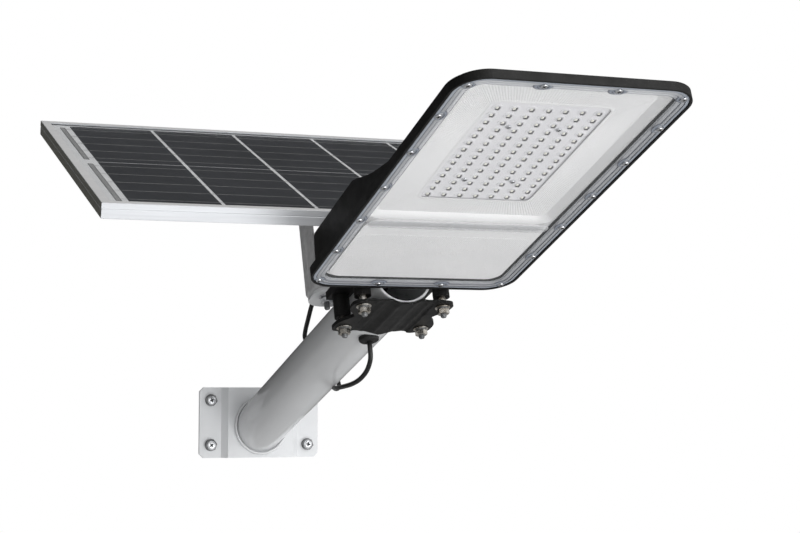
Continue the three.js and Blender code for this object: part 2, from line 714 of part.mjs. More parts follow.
// The reflector's sunk tray as a closed body, its walls moved inwards and its floor down by a skin.
function trayBody(skin, low) {
  const { mouth, front, side, rear, slope, floor } = TRAY;
  return solid(
    stack([
      headRing(mouth + skin, mouth + skin, rear + skin, low),
      headRing(front + skin, side + skin, rear + slope + skin, floor + REFLECTOR.skin - skin),
    ]),
  );
}

// The white reflector: a flange on the ledge, a raised desk at the rear and a tray round the LED window.
function reflector() {
  const { inset, top, bottom, skin } = REFLECTOR;
  const { halfWidth, from, to, corner, face } = DESK;
  const desk = slab(roundedRectangle(-halfWidth, halfWidth, -to, -from, corner), face, top);
  const { halfWidth: x, from: near, to: far } = LED_WINDOW;
  return cut(
    join(solid(slab(headOutline(inset), bottom, top)), solid(desk), trayBody(0, bottom + 0.4)),
    trayBody(skin, bottom - 0.2),
    solid(block(-x, x, -far, -near, bottom, top + 8)),
  );
}

function controllerBoard() {
  const standoff = (x, t) => solid(rod([x, -t, 13], [x, -t, 23.2], 3, 3, 12));
  return join(
    solid(block(24, 84, -636, -548, 11.6, 13.2)),
    solid(block(32, 50, -600, -566, -2, 11.8)),
    solid(block(58, 76, -626, -604, 3, 11.8)),
    solid(rod([66, -576, -4], [66, -576, 12], 8, 8, 16)),
    standoff(29, 553),
    standoff(79, 553),
    standoff(29, 631),
    standoff(79, 631),
  );
}

function headGland() {
  const at = (t) => [0, -HEAD.rear - t, HEAD_GLAND.up];
  return cut(
    join(
      solid(rod(at(-HEAD_GLAND.out), at(-1), 6, 8.5)),
      solid(rod(at(-1.1), at(2.6), 8.5, 8.5, 6)),
      solid(rod(at(2), at(14), 5.9)),
      solid(rod(at(10), at(14), 8.5, 8.5, 6)),
    ),
    solid(rod(at(-9), at(20), CABLE_RADIUS + GAP)),
  );
}

const { top: boardTop, bottom: boardBottom } = LED_BOARD;
const boardX = LED_BOARD.halfWidth;
const packBody = slab(roundedRectangle(-84, 14, -642, -544, 8), -8, 23.2);
const ledPlate = block(-boardX, boardX, -LED_BOARD.to, -LED_BOARD.from, boardBottom, boardTop);

add(head, "head_housing", headHousing(), blackCasting);
add(head, "lens_cover", lensCover(), clearPlastic);
add(head, "cover_gasket", ring(GASKET.outer, GASKET.inner, GASKET.bottom, GASKET.top), rubber);
add(head, "reflector", reflector(), whitePlastic);
add(head, "led_board", solid(ledPlate), whitePlastic);
add(head, "battery_pack", solid(packBody), battery);
add(head, "controller_board", controllerBoard(), circuit);
add(head, "head_gland", headGland(), blackPlastic);
add(arm, "clamp_plate", clampPlate(), blackCasting);
CLAMP_BOLT.at.forEach((at, row) => {
  for (const [word, side] of SIDES) {
    const place = new THREE.Vector3(side * CLAMP_BOLT.x, -at, 0);
    const bolt = clampedBolt(place, Z_AXIS, CLAMP.high, CLAMP_PLATE.bottom, 11);
    add(arm, `clamp_bolt_${word}_${row + 1}`, bolt, zinc);
  }
});

export default lamp;
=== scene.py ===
import math

import bmesh
import bpy
from mathutils import Matrix, Vector, geometry


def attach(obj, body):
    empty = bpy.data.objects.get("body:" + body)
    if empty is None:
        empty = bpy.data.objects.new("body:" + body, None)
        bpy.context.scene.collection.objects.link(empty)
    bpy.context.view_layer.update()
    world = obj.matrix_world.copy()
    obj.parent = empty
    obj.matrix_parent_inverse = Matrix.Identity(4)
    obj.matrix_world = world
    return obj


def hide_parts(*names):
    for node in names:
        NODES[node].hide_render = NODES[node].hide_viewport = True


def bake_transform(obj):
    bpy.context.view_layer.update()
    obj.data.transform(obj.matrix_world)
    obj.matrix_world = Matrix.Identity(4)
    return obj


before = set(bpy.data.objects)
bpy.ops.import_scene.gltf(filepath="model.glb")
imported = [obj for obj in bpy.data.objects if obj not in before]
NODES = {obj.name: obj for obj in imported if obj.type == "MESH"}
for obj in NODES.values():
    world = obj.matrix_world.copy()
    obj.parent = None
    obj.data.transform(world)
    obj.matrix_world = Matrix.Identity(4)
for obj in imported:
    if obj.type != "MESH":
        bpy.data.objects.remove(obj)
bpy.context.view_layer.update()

# Looks of a wall-mounted solar street lamp. Lengths are millimetres inside a local frame, and become
# metres when a mesh is made. The frames are the CAD model's: LAMP on the wall, ARM along the tube, HEAD along
# the LED head and PANEL along the solar panel, from the point of its front edge that lies over the tube.
MM = 0.001


def tilted(origin, degrees):
    return Matrix.Translation(Vector(origin) * MM) @ Matrix.Rotation(math.radians(degrees), 4, "X")


ARM_FOOT = -7
ARM_SLOPE = 18.2
HEAD_FOOT = -17
HEAD_SLOPE = 20
PANEL_EDGE = (0, -498.7, 211.6)
PANEL_SLOPE = 20
LAMP = Matrix.Identity(4)
ARM = tilted((0, 0, ARM_FOOT), -ARM_SLOPE)
HEAD = tilted((0, 0, HEAD_FOOT), -HEAD_SLOPE)
PANEL = tilted(PANEL_EDGE, PANEL_SLOPE)

TUBE_RADIUS = 30
TUBE_WALL = 2.5
TUBE_END = -515
PLATE_FACE = -10.5
GAP = 0.3
WALL_BOLT = (61, 27)
SADDLE_BOLT = (40, -400.5)
EAR_UNDER = 19.5
EAR_THICK = 3
YOKE_FOOT_TOP = 25.8
PIVOT_UP = 111
YOKE_OUTER = 55.5
CLAMP_X = 41
CLAMP_BOLTS = (-445.7, -506.7)
PANEL_LEFT = -298
PANEL_RIGHT = 168
PANEL_DEPTH = 353
HEAD_REAR = -523
HEAD_FRONT = -932
HEAD_MIDDLE = (HEAD_REAR + HEAD_FRONT) / 2
HEAD_HALF = 105
COVER_FACE = -23.1
SCREW_ROW = -536.6
SCREW_SIDE = 98.7
SCREW_CORNER = 93.9
SCREW_END = 32.4
CABLE_DIAMETER = 5

# ---- Camera ----
CAMERA_PLACE = (-629.76, -2121.0, 47.41)
camera_data = bpy.data.cameras.new("camera")
camera_data.lens = 81.0
camera_data.sensor_width = 36.0
camera_data.clip_end = 60
camera = bpy.data.objects.new("camera", camera_data)
bpy.context.scene.collection.objects.link(camera)
look = Vector((0.35778, 0.93155, 0.06488)).normalized()
side = Vector((0.93348, -0.35862, 0.00139)).normalized()
rise = side.cross(look)
camera.matrix_world = Matrix.Translation(Vector(CAMERA_PLACE) * MM) @ Matrix(
    (side, rise, -look)
).transposed().to_4x4()
bpy.context.scene.camera = camera
bpy.context.scene.view_settings.view_transform = "Standard"


# ---- Materials ----
class Nodes:
    """A material's node tree, with short calls for the nodes that it uses."""

    def __init__(self, name):
        self.material = bpy.data.materials.new(name)
        self.material.use_nodes = True
        self.tree = self.material.node_tree
        self.shader = self.tree.nodes["Principled BSDF"]
        coordinates = self.tree.nodes.new("ShaderNodeTexCoord")
        self.place = coordinates.outputs["Object"]

    def node(self, kind, links=(), **values):
        made = self.tree.nodes.new(kind)
        for key, value in values.items():
            setattr(made, key, value)
        for socket, source in dict(links).items():
            if isinstance(source, bpy.types.NodeSocket):
                self.tree.links.new(source, made.inputs[socket])
            else:
                made.inputs[socket].default_value = source
        return made

    def stretched(self, scale):
        return self.node("ShaderNodeMapping", {"Vector": self.place, "Scale": scale}).outputs["Vector"]

    def noise(self, scale, detail=3.0, stretch=(1, 1, 1)):
        links = {"Vector": self.stretched(stretch), "Scale": scale, "Detail": detail}
        return self.node("ShaderNodeTexNoise", links).outputs["Fac"]

    def spread(self, source, low, high, from_low=0.3, from_high=0.7):
        links = {
            "Value": source,
            "From Min": from_low,
            "From Max": from_high,
            "To Min": low,
            "To Max": high,
        }
        return self.node("ShaderNodeMapRange", links).outputs["Result"]

    def blend(self, factor, first, second):
        mix = self.node("ShaderNodeMix", data_type="RGBA")
        self.tree.links.new(factor, mix.inputs["Factor"])
        for socket, colour in ((mix.inputs[6], first), (mix.inputs[7], second)):
            if isinstance(colour, bpy.types.NodeSocket):
                self.tree.links.new(colour, socket)
            else:
                socket.default_value = (*colour, 1)
        return mix.outputs[2]

    def bump(self, height, strength, distance):
        links = {"Height": height, "Strength": strength, "Distance": distance}
        return self.node("ShaderNodeBump", links).outputs["Normal"]

    def set(self, **values):
        for key, value in values.items():
            socket = self.shader.inputs[key.replace("_", " ")]
            if isinstance(value, bpy.types.NodeSocket):
                self.tree.links.new(value, socket)
            else:
                socket.default_value = value
        return self


def mottled(name, dark, light, rough, metal=0.0, grain=900, grain_bump=0.25, patch=18):
    """A surface with broad colour patches, a fine grain in its relief, and uneven gloss."""
    n = Nodes(name)
    patches = n.noise(patch, 4.0)
    fine = n.noise(grain, 2.0)
    n.set(
        Base_Color=n.blend(n.spread(patches, 0.0, 1.0), dark, light),
        Roughness=n.spread(n.noise(patch * 3, 3.0), rough[0], rough[1]),
        Metallic=metal,
        Normal=n.bump(fine, grain_bump, 0.0001),
    )
    return n.material


def powder_black(name, fleck_from, gloss):
    """Black powder coat with a fine relief and a light fleck that starts at fleck_from."""
    n = Nodes(name)
    fleck = n.spread(n.noise(1300, 1.0), 0.0, 1.0, fleck_from, fleck_from + 0.1)
    patches = n.spread(n.noise(22, 3.0), 0.0, 1.0)
    base = n.blend(patches, (0.003, 0.003, 0.003), (0.006, 0.006, 0.0055))
    n.set(
        Base_Color=n.blend(fleck, base, (0.05, 0.05, 0.048)),
        Roughness=n.spread(n.noise(60, 3.0), gloss, gloss + 0.12),
        Normal=n.bump(n.noise(1100, 2.0), 0.6, 0.00015),
        Specular_IOR_Level=0.3,
    )
    return n.material


def painted_steel():
    """Light grey gloss paint with a faint orange peel."""
    n = Nodes("painted_steel")
    n.set(
        Base_Color=n.blend(n.spread(n.noise(9, 3.0), 0.0, 1.0), (0.72, 0.73, 0.745), (0.77, 0.78, 0.79)),
        Roughness=n.spread(n.noise(40, 3.0), 0.3, 0.42),
        Normal=n.bump(n.noise(420, 2.0), 0.06, 0.0002),
        Coat_Weight=0.7,
        Coat_Roughness=0.07,
    )
    return n.material


def rolled_metal(name, dark, light, rough, stretch, metal=1.0):
    """Metal with fine drawn lines along one axis."""
    n = Nodes(name)
    lines = n.noise(260, 3.0, stretch)
    n.set(
        Base_Color=n.blend(n.spread(lines, 0.0, 1.0), dark, light),
        Metallic=metal,
        Roughness=n.spread(n.noise(90, 3.0, stretch), rough[0], rough[1]),
        Normal=n.bump(lines, 0.08, 0.0001),
    )
    return n.material


def cell_material():
    """Dark cells with the faint fingers that run across them."""
    n = Nodes("silicon_cell")
    wave = n.node(
        "ShaderNodeTexWave",
        {"Vector": n.place, "Scale": 190.0, "Distortion": 0.0},
        bands_direction="X",
    ).outputs["Fac"]
    tone = n.blend(n.spread(n.noise(7, 2.0), 0.0, 1.0), (0.026, 0.027, 0.031), (0.040, 0.041, 0.047))
    n.set(
        Base_Color=n.blend(n.spread(wave, 0.0, 0.35, 0.75, 1.0), tone, (0.07, 0.07, 0.075)),
        Roughness=n.spread(n.noise(30, 2.0), 0.3, 0.42),
        Specular_IOR_Level=0.35,
    )
    return n.material


def clear(name, colour, alpha, roughness):
    """Clear plastic or glass seen as a thin glossy film, with a little haze that comes and goes."""
    n = Nodes(name)
    haze = n.spread(n.noise(26, 3.0), 0.0, 1.0)
    n.set(
        Base_Color=n.blend(haze, colour, [c * 0.93 for c in colour]),
        Roughness=n.spread(n.noise(35, 3.0), roughness, roughness + 0.06),
        Alpha=alpha,
        Normal=n.bump(n.noise(60, 2.0), 0.03, 0.0003),
    )
    return n.material


def cable_jacket():
    n = Nodes("cable_jacket")
    patches = n.spread(n.noise(60, 3.0), 0.0, 1.0)
    n.set(
        Base_Color=n.blend(patches, (0.004, 0.004, 0.004), (0.009, 0.009, 0.009)),
        Roughness=n.spread(n.noise(150, 3.0), 0.36, 0.5),
        Normal=n.bump(n.noise(1400, 2.0), 0.2, 0.0001),
    )
    return n.material


PAINT = painted_steel()
WORN_PAINT = mottled(
    "plate_paint", (0.70, 0.715, 0.73), (0.76, 0.77, 0.785), (0.36, 0.5), grain=500, grain_bump=0.12,
)
ZINC = mottled("zinc_plate", (0.55, 0.56, 0.58), (0.80, 0.81, 0.83), (0.16, 0.3), 1.0, 700, 0.15, 90)
WARM_ZINC = mottled(
    "weathered_zinc", (0.30, 0.26, 0.21), (0.80, 0.78, 0.73), (0.18, 0.34), 1.0, 700, 0.2, 160,
)
DARK_STEEL = mottled("dark_steel", (0.13, 0.135, 0.14), (0.24, 0.245, 0.25), (0.3, 0.45), 0.6, 800, 0.2, 120)
# A dark bluish film for the cross recess in the wall nuts' zinc centres: painted shade in the recess.
RECESS_SHADE_BLUE = mottled("bluish_recess_painted_shade", (0.03, 0.09, 0.14), (0.10, 0.20, 0.28), (0.2, 0.35), 0.5, 800, 0.2, 200)
GALVANISED = mottled("galvanised", (0.56, 0.56, 0.565), (0.70, 0.70, 0.705), (0.4, 0.55), 0.2, 380, 0.2, 160)
ALUMINIUM = rolled_metal(
    "anodised_frame", (0.60, 0.615, 0.64), (0.68, 0.695, 0.72), (0.38, 0.5), (0.03, 1, 1), 0.25,
)
# A dark olive copy of the anodised frame metal: painted shade for the frame faces that point along x.
ALUMINIUM_SIDE_SHADE = rolled_metal(
    "anodised_painted_shade", (0.30, 0.30, 0.26), (0.38, 0.38, 0.34), (0.4, 0.5), (1, 0.03, 1), 0.6,
)
# A near-white copy of the anodised frame metal: painted highlight for the frame faces that point up.
ALUMINIUM_TOP_HIGHLIGHT = rolled_metal(
    "anodised_painted_highlight", (0.86, 0.86, 0.86), (0.93, 0.93, 0.93), (0.45, 0.6), (0.03, 1, 1), 0.0,
)
SILICON = cell_material()
TINNED = mottled("tinned_ribbon", (0.42, 0.42, 0.41), (0.60, 0.60, 0.59), (0.35, 0.5), 0.4, 900, 0.2, 200)
GLASS = clear("panel_glass", (0.6, 0.65, 0.7), 0.03, 0.04)
LAMINATE = mottled(
    "laminate_white", (0.93, 0.935, 0.94), (0.97, 0.975, 0.98), (0.45, 0.6), grain=600, grain_bump=0.05,
)
RIBBON = mottled("ribbon", (0.50, 0.50, 0.50), (0.62, 0.62, 0.62), (0.3, 0.4), 0.3, 900, 0.1, 200)
RIBBON_EDGE = mottled("ribbon_edge", (0.22, 0.22, 0.22), (0.30, 0.30, 0.30), (0.4, 0.5), grain=900)
BACKSHEET = mottled(
    "backsheet", (0.80, 0.81, 0.82), (0.87, 0.875, 0.88), (0.45, 0.6), grain=600, grain_bump=0.1,
)
REFLECTOR = mottled(
    "reflector_plastic", (0.84, 0.84, 0.845), (0.88, 0.88, 0.882), (0.3, 0.45), grain=500, grain_bump=0.05,
)
LED_BOARD = mottled(
    "led_board", (0.82, 0.815, 0.84), (0.86, 0.855, 0.875), (0.4, 0.5), grain=700, grain_bump=0.06,
)
PHOSPHOR = mottled("phosphor", (0.95, 0.94, 0.84), (0.98, 0.97, 0.88), (0.4, 0.5), grain=900, grain_bump=0.1)
# A near-black film: painted shade in the screws' cross recesses, and the dark hooked marks beside the LEDs.
RECESS_SHADE_AND_DARK_MARKS = mottled("recess_painted_shade_and_dark_marks", (0.02, 0.02, 0.02), (0.08, 0.08, 0.08), (0.25, 0.4), 0.3, 900, 0.2, 200)
DOME = clear("led_dome", (0.97, 0.97, 0.98), 0.06, 0.03)
COVER = clear("cover_window", (0.9, 0.92, 0.94), 0.05, 0.08)
COVER_RIM = clear("cover_rim", (0.72, 0.74, 0.77), 0.5, 0.08)
# A dark, nearly opaque film for the grooves of the clear cover: painted shade in the grooves.
COVER_GROOVE_SHADE = clear("cover_groove_painted_shade", (0.16, 0.17, 0.20), 0.8, 0.12)
COVER_BEAD = clear("cover_bead", (0.80, 0.81, 0.83), 0.35, 0.1)
COVER_EDGE = clear("cover_edge", (0.46, 0.50, 0.56), 0.78, 0.08)
COVER_BOSS = clear("cover_boss", (0.30, 0.33, 0.38), 0.82, 0.08)
BLACK = powder_black("housing_powder_coat", 0.66, 0.5)
BLACK_SATIN = powder_black("clamp_powder_coat", 0.72, 0.46)
BLACK_PLASTIC = mottled("black_plastic", (0.006, 0.006, 0.007), (0.011, 0.011, 0.012), (0.4, 0.55), grain=900)
RUBBER = mottled("black_rubber", (0.003, 0.003, 0.003), (0.007, 0.007, 0.007), (0.5, 0.7), grain=1200)
JACKET = cable_jacket()
WRAP = mottled("battery_wrap", (0.02, 0.09, 0.28), (0.03, 0.13, 0.36), (0.2, 0.35), grain=200, grain_bump=0.3)
CIRCUIT = mottled(
    "circuit_board", (0.008, 0.09, 0.03), (0.015, 0.13, 0.05), (0.3, 0.45), grain=400, grain_bump=0.3,
)


# ---- Mesh code ----
class Shape:
    """Vertices and faces in millimetres, gathered from several parts before they become one mesh."""

    def __init__(self):
        self.points = []
        self.faces = []
        self.slots = []

    def add(self, points, faces, slot=0, matrix=None):
        start = len(self.points)
        matrix = matrix or Matrix.Identity(4)
        self.points += [matrix @ Vector(p) for p in points]
        self.faces += [[start + i for i in face] for face in faces]
        self.slots += [slot] * len(faces)
        return self

    def loft(self, rings, slot=0, matrix=None, caps=True, loop=False):
        """Skins rings of equal length. loop joins the last ring to the first, and caps closes both ends."""
        count = len(rings[0])
        points = [p for ring in rings for p in ring]
        faces = []
        for r in range(len(rings) if loop else len(rings) - 1):
            a, b = r * count, (r + 1) % len(rings) * count
            for i in range(count):
                j = (i + 1) % count
                faces.append([a + i, a + j, b + j, b + i])
        if caps and not loop:
            faces.append(list(range(count))[::-1])
            faces.append([(len(rings) - 1) * count + i for i in range(count)])
        return self.add(points, faces, slot, matrix)

    def lathe(self, profile, slot=0, matrix=None, sides=32, caps=True, loop=False):
        """Turns (radius, height) pairs round z."""
        rings = [circle(radius, height, sides) for radius, height in profile]
        return self.loft(rings, slot, matrix, caps, loop)

    def plate(self, outline, low, high, slot=0, matrix=None, edge=0.0):
        """A flat outline from z low to z high, its rims eased by edge towards the outline's middle."""
        cx = sum(p[0] for p in outline) / len(outline)
        cy = sum(p[1] for p in outline) / len(outline)

        def ring(inset, z):
            made = []
            for x, y in outline:
                size = math.hypot(x - cx, y - cy) or 1
                share = 1 - inset / size
                made.append((cx + (x - cx) * share, cy + (y - cy) * share, z))
            return made

        if edge:
            rings = [ring(edge, low), ring(0, low + edge), ring(0, high - edge), ring(edge, high)]
        else:
            rings = [ring(0, low), ring(0, high)]
        return self.loft(rings, slot, matrix)

    def make(self, name, materials, body, slot_name, place=LAMP, replaces=(), angle=35):
        mesh = bpy.data.meshes.new(name)
        mesh.from_pydata([place @ (p * MM) for p in self.points], [], self.faces)
        for material in materials if isinstance(materials, (list, tuple)) else [materials]:
            mesh.materials.append(material)
        mesh.polygons.foreach_set("material_index", self.slots)
        mesh.update()
        tidy(mesh)
        mesh.shade_smooth()
        mesh.set_sharp_from_angle(angle=math.radians(angle))
        piece = bpy.data.objects.new(name, mesh)
        bpy.context.scene.collection.objects.link(piece)
        if body:
            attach(piece, body)
        if replaces:
            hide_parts(*replaces)
        return piece


def tidy(mesh):
    """Joins parts that share points, and turns every face outwards."""
    work = bmesh.new()
    work.from_mesh(mesh)
    bmesh.ops.remove_doubles(work, verts=work.verts, dist=2e-6)
    bmesh.ops.recalc_face_normals(work, faces=work.faces)
    work.to_mesh(mesh)
    work.free()


def circle(radius, z, sides=32, turn=0.0):
    steps = [2 * math.pi * i / sides + turn for i in range(sides)]
    return [(radius * math.cos(a), radius * math.sin(a), z) for a in steps]


def turns(count):
    return [2 * math.pi * i / count for i in range(count)]


def oval(across, down, z, sides=40):
    return [(across * math.cos(a), down * math.sin(a), z) for a in turns(sides)]


def rounded(x0, x1, y0, y1, radius, steps=8):
    """A rectangle with round corners, anticlockwise from the lower left corner's end."""
    corners = ((x1, y0, -90), (x1, y1, 0), (x0, y1, 90), (x0, y0, 180))
    points = []
    for x, y, start in corners:
        cx = x - radius if x == x1 else x + radius
        cy = y - radius if y == y1 else y + radius
        for i in range(steps + 1):
            a = math.radians(start + 90 * i / steps)
            points.append((cx + radius * math.cos(a), cy + radius * math.sin(a)))
    return points


def dense(points, step):
    """A closed outline with a point at least every step."""
    made = []
    for (x0, y0), (x1, y1) in zip(points, points[1:] + points[:1]):
        parts = max(1, math.ceil(math.hypot(x1 - x0, y1 - y0) / step))
        made += [(x0 + (x1 - x0) * i / parts, y0 + (y1 - y0) * i / parts) for i in range(parts)]
    return made


def along(place, direction):
    """A frame at place whose z points along direction."""
    turn = Vector(direction).to_track_quat("Z", "Y").to_matrix().to_4x4()
    return Matrix.Translation(Vector(place)) @ turn


def hexagon(half_flats, z, chamfer_from=None, slope=0.0, sides=48):
    """A hexagon's outline; past chamfer_from its points drop by slope, as a turned chamfer cuts them."""
    made = []
    for i in range(sides):
        a = 2 * math.pi * i / sides
        reach = half_flats / math.cos((a + math.pi / 6) % (math.pi / 3) - math.pi / 6)
        drop = max(0.0, reach - chamfer_from) * slope if chamfer_from is not None else 0.0
        made.append((reach * math.cos(a), reach * math.sin(a), z + drop))
    return made


def hex_block(shape, half_flats, low, high, matrix, slot=0, both=True):
    """A hexagonal nut or head with turned chamfers."""
    ease = half_flats * 0.97
    rings = []
    if both:
        rings += [circle(ease, low, 48), hexagon(half_flats, low, ease, 0.55)]
    else:
        rings += [hexagon(half_flats, low)]
    rings += [hexagon(half_flats, high, ease, -0.55), circle(ease, high, 48)]
    shape.loft(rings, slot, matrix)


def thread(shape, radius, low, high, matrix, slot=0, pitch=1.25, sides=24):
    """A rod with a helical thread and an eased end."""
    rings = []
    count = int((high - low) / pitch * 5)
    for k in range(count + 1):
        z = low + (high - low) * k / count
        ring = []
        end = min(1.0, (high - z) / 1.2)
        for i in range(sides):
            a = 2 * math.pi * i / sides
            wave = abs(((z / pitch - a / (2 * math.pi)) % 1) * 2 - 1)
            r = min(radius - 0.62 * (1 - wave), radius - 0.9 * (1 - end))
            ring.append((r * math.cos(a), r * math.sin(a), z))
        rings.append(ring)
    shape.loft(rings, slot, matrix)


def washer(shape, outer, inner, low, high, matrix, slot=0):
    e = 0.25
    profile = [(inner, low), (outer - e, low), (outer, low + e)]
    profile += [(outer, high - e), (outer - e, high), (inner, high)]
    shape.lathe(profile, slot, matrix, 40, False, True)


def cross_recess(shape, radius, reach, half_slot, depth, low, high, matrix, slots=(0, 1), sides=64):
    """A screw head with a cross-shaped recess. slots are the head's and the recess's material slots."""

    def plus(scale, z):
        ring = []
        for i in range(sides):
            a = 2 * math.pi * (i + 0.5) / sides
            near = abs((a + math.pi / 4) % (math.pi / 2) - math.pi / 4)
            at_tip = reach * math.tan(near) < half_slot
            edge = reach / math.cos(near) if at_tip else half_slot / math.sin(near)
            ring.append((edge * scale * math.cos(a), edge * scale * math.sin(a), z))
        return ring

    turn = math.pi / sides
    head = [circle(radius, low, sides, turn), circle(radius, high - 0.6, sides, turn)]
    head += [circle(radius * 0.86, high - 0.1, sides, turn), circle(radius * 0.7, high, sides, turn)]
    shape.loft(head, slots[0], matrix, False)
    shape.loft([head[-1], plus(1, high)], slots[0], matrix, False)
    bottom = high - depth * 1.2
    shape.loft([plus(1, high), plus(0.8, high - depth), plus(0.2, bottom)], slots[1], matrix, False)
    shape.add(plus(0.2, bottom), [list(range(sides))], slots[1], matrix)
    shape.add(circle(radius, low, sides, turn), [list(range(sides))[::-1]], slots[0], matrix)


M8_HEAD = 6.5
M8_RADIUS = 4.0
WASHER_RADIUS = 7.6
NUT_HALF = 5.4
THREAD_RADIUS = 3.2


def spring_washer(bore, low):
    return [(bore + 0.2, low), (bore + 2.2, low), (bore + 2.2, low + 1.4), (bore + 0.2, low + 1.4)]


def clamped_bolt(name, body, frame_matrix, seat, nut_face, axis, tail, materials):
    """A hex bolt through a stack: head at seat, washer and nut past nut_face, thread out to the tail."""
    seat, nut_face = Vector(seat), Vector(nut_face)
    matrix = along(seat, axis)
    grip = (nut_face - seat).length
    shape = Shape()
    hex_block(shape, M8_HEAD, -5.8, -0.5, matrix, 0, False)
    shape.lathe([(M8_RADIUS, -1), (M8_RADIUS, grip - 3)], 0, matrix, 24)
    thread(shape, THREAD_RADIUS, grip - 3.2, grip + tail, matrix, 1)
    washer(shape, WASHER_RADIUS, THREAD_RADIUS + 0.2, grip + 0.3, grip + 1.3, matrix)
    shape.lathe(spring_washer(THREAD_RADIUS, grip + 1.35), 1, matrix, 40, False, True)
    hex_block(shape, NUT_HALF, grip + 2.8, grip + 7.6, matrix)
    shape.make(name, materials, body, "zinc_fastener", frame_matrix, [name.removesuffix("_detail")])


def dress(node, material, bevel=0.0, segments=2):
    """A carried-over CAD node: its material, and eased edges where bevel is given."""
    piece = NODES[node]
    piece.data.materials.clear()
    piece.data.materials.append(material)
    if bevel:
        ease = piece.modifiers.new("eased_edges", "BEVEL")
        ease.width = bevel * MM
        ease.segments = segments
        ease.limit_method = "ANGLE"
        ease.angle_limit = math.radians(40)
        ease.harden_normals = True


# ---- Cable ----
CABLE_ROUTE = [
    (-12, -301.4, 266.7),
    (-12, -311, 263),
    (-12, -318, 253),
    (-13, -319.5, 235),
    (-14, -315, 215),
    (-15, -306, 195.5),
    (-16, -295, 177),
    (-17, -283, 160),
    (-17, -270, 144.5),
    (-17, -255.5, 130),
    (-15.5, -240, 117),
    (-12.5, -222, 106),
    (-7, -203.5, 98),
    (3, -188, 91),
    (16, -178, 83.5),
    (27.5, -176, 72.5),
    (33.5, -184, 61),
    (33.5, -199, 50.5),
    (28, -219, 44.5),
    (19.5, -240, 42),
    (10, -261, 41.5),
    (1.5, -280, 42.5),
    (-4, -298, 42.5),
    (-6.5, -317, 43),
    (-6.5, -337, 44.5),
    (-5, -356.5, 47),
    (-3, -375, 52),
    (-1.5, -391, 60.5),
    (-1.5, -401.5, 71.5),
    (-2.8, -404.3, 83),
    (-3, -401.2, 91.9),
]


def cable_line(steps=10):
    """Points close together along a smooth line through the route, in metres."""
    places = [Vector(place) * MM for place in CABLE_ROUTE]
    slopes = [(places[min(i + 1, len(places) - 1)] - places[max(i - 1, 0)]) / 2 for i in range(len(places))]
    line = []
    for start, end, leave, arrive in zip(places, places[1:], slopes, slopes[1:]):
        points = geometry.interpolate_bezier(start, start + leave / 3, end - arrive / 3, end, steps + 1)
        line += points[:-1]
    return line + [places[-1]]


def panel_cable(line):
    """The jacket: a round section carried along the line without twist."""
    sides = 20
    radius = CABLE_DIAMETER / 2 * MM
    across = (line[1] - line[0]).orthogonal().normalized()
    rings = []
    for i, centre in enumerate(line):
        ahead = (line[min(i + 1, len(line) - 1)] - line[max(i - 1, 0)]).normalized()
        across = (across - ahead * across.dot(ahead)).normalized()
        other = ahead.cross(across)
        spokes = [across * math.cos(a) + other * math.sin(a) for a in turns(sides)]
        rings.append([tuple((centre + spoke * radius) / MM) for spoke in spokes])
    shape = Shape()
    shape.loft(rings)
    piece = shape.make("panel_cable_jacket", JACKET, None, "black_rubber", LAMP, ["panel_cable"], 60)
    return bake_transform(piece)


def cable_glands():
    """The panel's gland: a hexagon, a domed nut with grip flutes, and a tapered boot on the cable."""
    matrix = PANEL_GLAND
    shape = Shape()
    hex_block(shape, 6.5, 0.3, 6, matrix)
    rings = []
    for radius, z in ((6.6, 6), (6.6, 11.5), (6.2, 12.8), (5.2, 14), (4.3, 15), (3.4, 17.2), (3.1, 18)):
        flute = 0.35 if radius > 5.5 else 0.0
        ring = []
        for i in range(48):
            a = 2 * math.pi * i / 48
            r = radius - flute * (i % 4 == 0)
            ring.append((r * math.cos(a), r * math.sin(a), z))
        rings.append(ring)
    shape.loft(rings, 0, matrix)
    shape.make("cable_gland_detail", BLACK_PLASTIC, "panel", "black_plastic", PANEL, ["cable_gland"])


PANEL_GLAND = along((-12, 222, -15.5), (0, -1, 0))
cable_points = cable_line()
cable = panel_cable(cable_points)


def grommet():
    """The rubber grommet where the cable enters the tube, and the collar round the cable."""
    matrix = along((-3, -412, 0), (0, 0, -1))
    shape = Shape()
    profile = [(8, 24.2), (8, 27), (10.4, 28.6), (10.5, 30.5), (10.1, 32.3)]
    profile += [(8.6, 33.6), (6, 33.9), (3.4, 33.95), (3.1, 24.2)]
    shape.lathe(profile, 0, matrix, 48, False, True)
    shape.make("tube_grommet_detail", RUBBER, "bracket", "black_rubber", ARM, ["tube_grommet"])


grommet()
cable_glands()


# ---- Wall plate, tube and weld ----
def wall_bolts():
    """Flange nuts on the wall anchors, each with a bright centre and a crosswise recess."""
    x, z = WALL_BOLT
    places = [(s * x, r * z) for s in (-1, 1) for r in (1, -1)]
    for number, (px, pz) in enumerate(places, 1):
        matrix = along((px, -3.8, pz), (0, -1, 0)) @ Matrix.Rotation(0.35 * number, 4, "Z")
        shape = Shape()
        washer(shape, 7.2, 4.2, 0, 1.2, matrix, 0)
        hex_block(shape, 6.4, 1.0, 4.2, matrix, 0)
        shape.lathe([(5.2, 4.1), (5.2, 4.6), (4.9, 5.0), (4.6, 5.0), (4.6, 4.2)], 1, matrix, 40)
        # The cross recess takes the dark bluish film as painted shade.
        cross_recess(shape, 4.5, 2.6, 0.8, 1.2, 3.5, 5.3, matrix, (1, 2))
        shape.lathe([(M8_RADIUS, -3.4), (M8_RADIUS, 3.6)], 1, matrix, 24)
        name = f"wall_bolt_{number}"
        shape.make(f"{name}_detail", [DARK_STEEL, ZINC, RECESS_SHADE_BLUE], "bracket", "zinc_fastener", LAMP, [name])


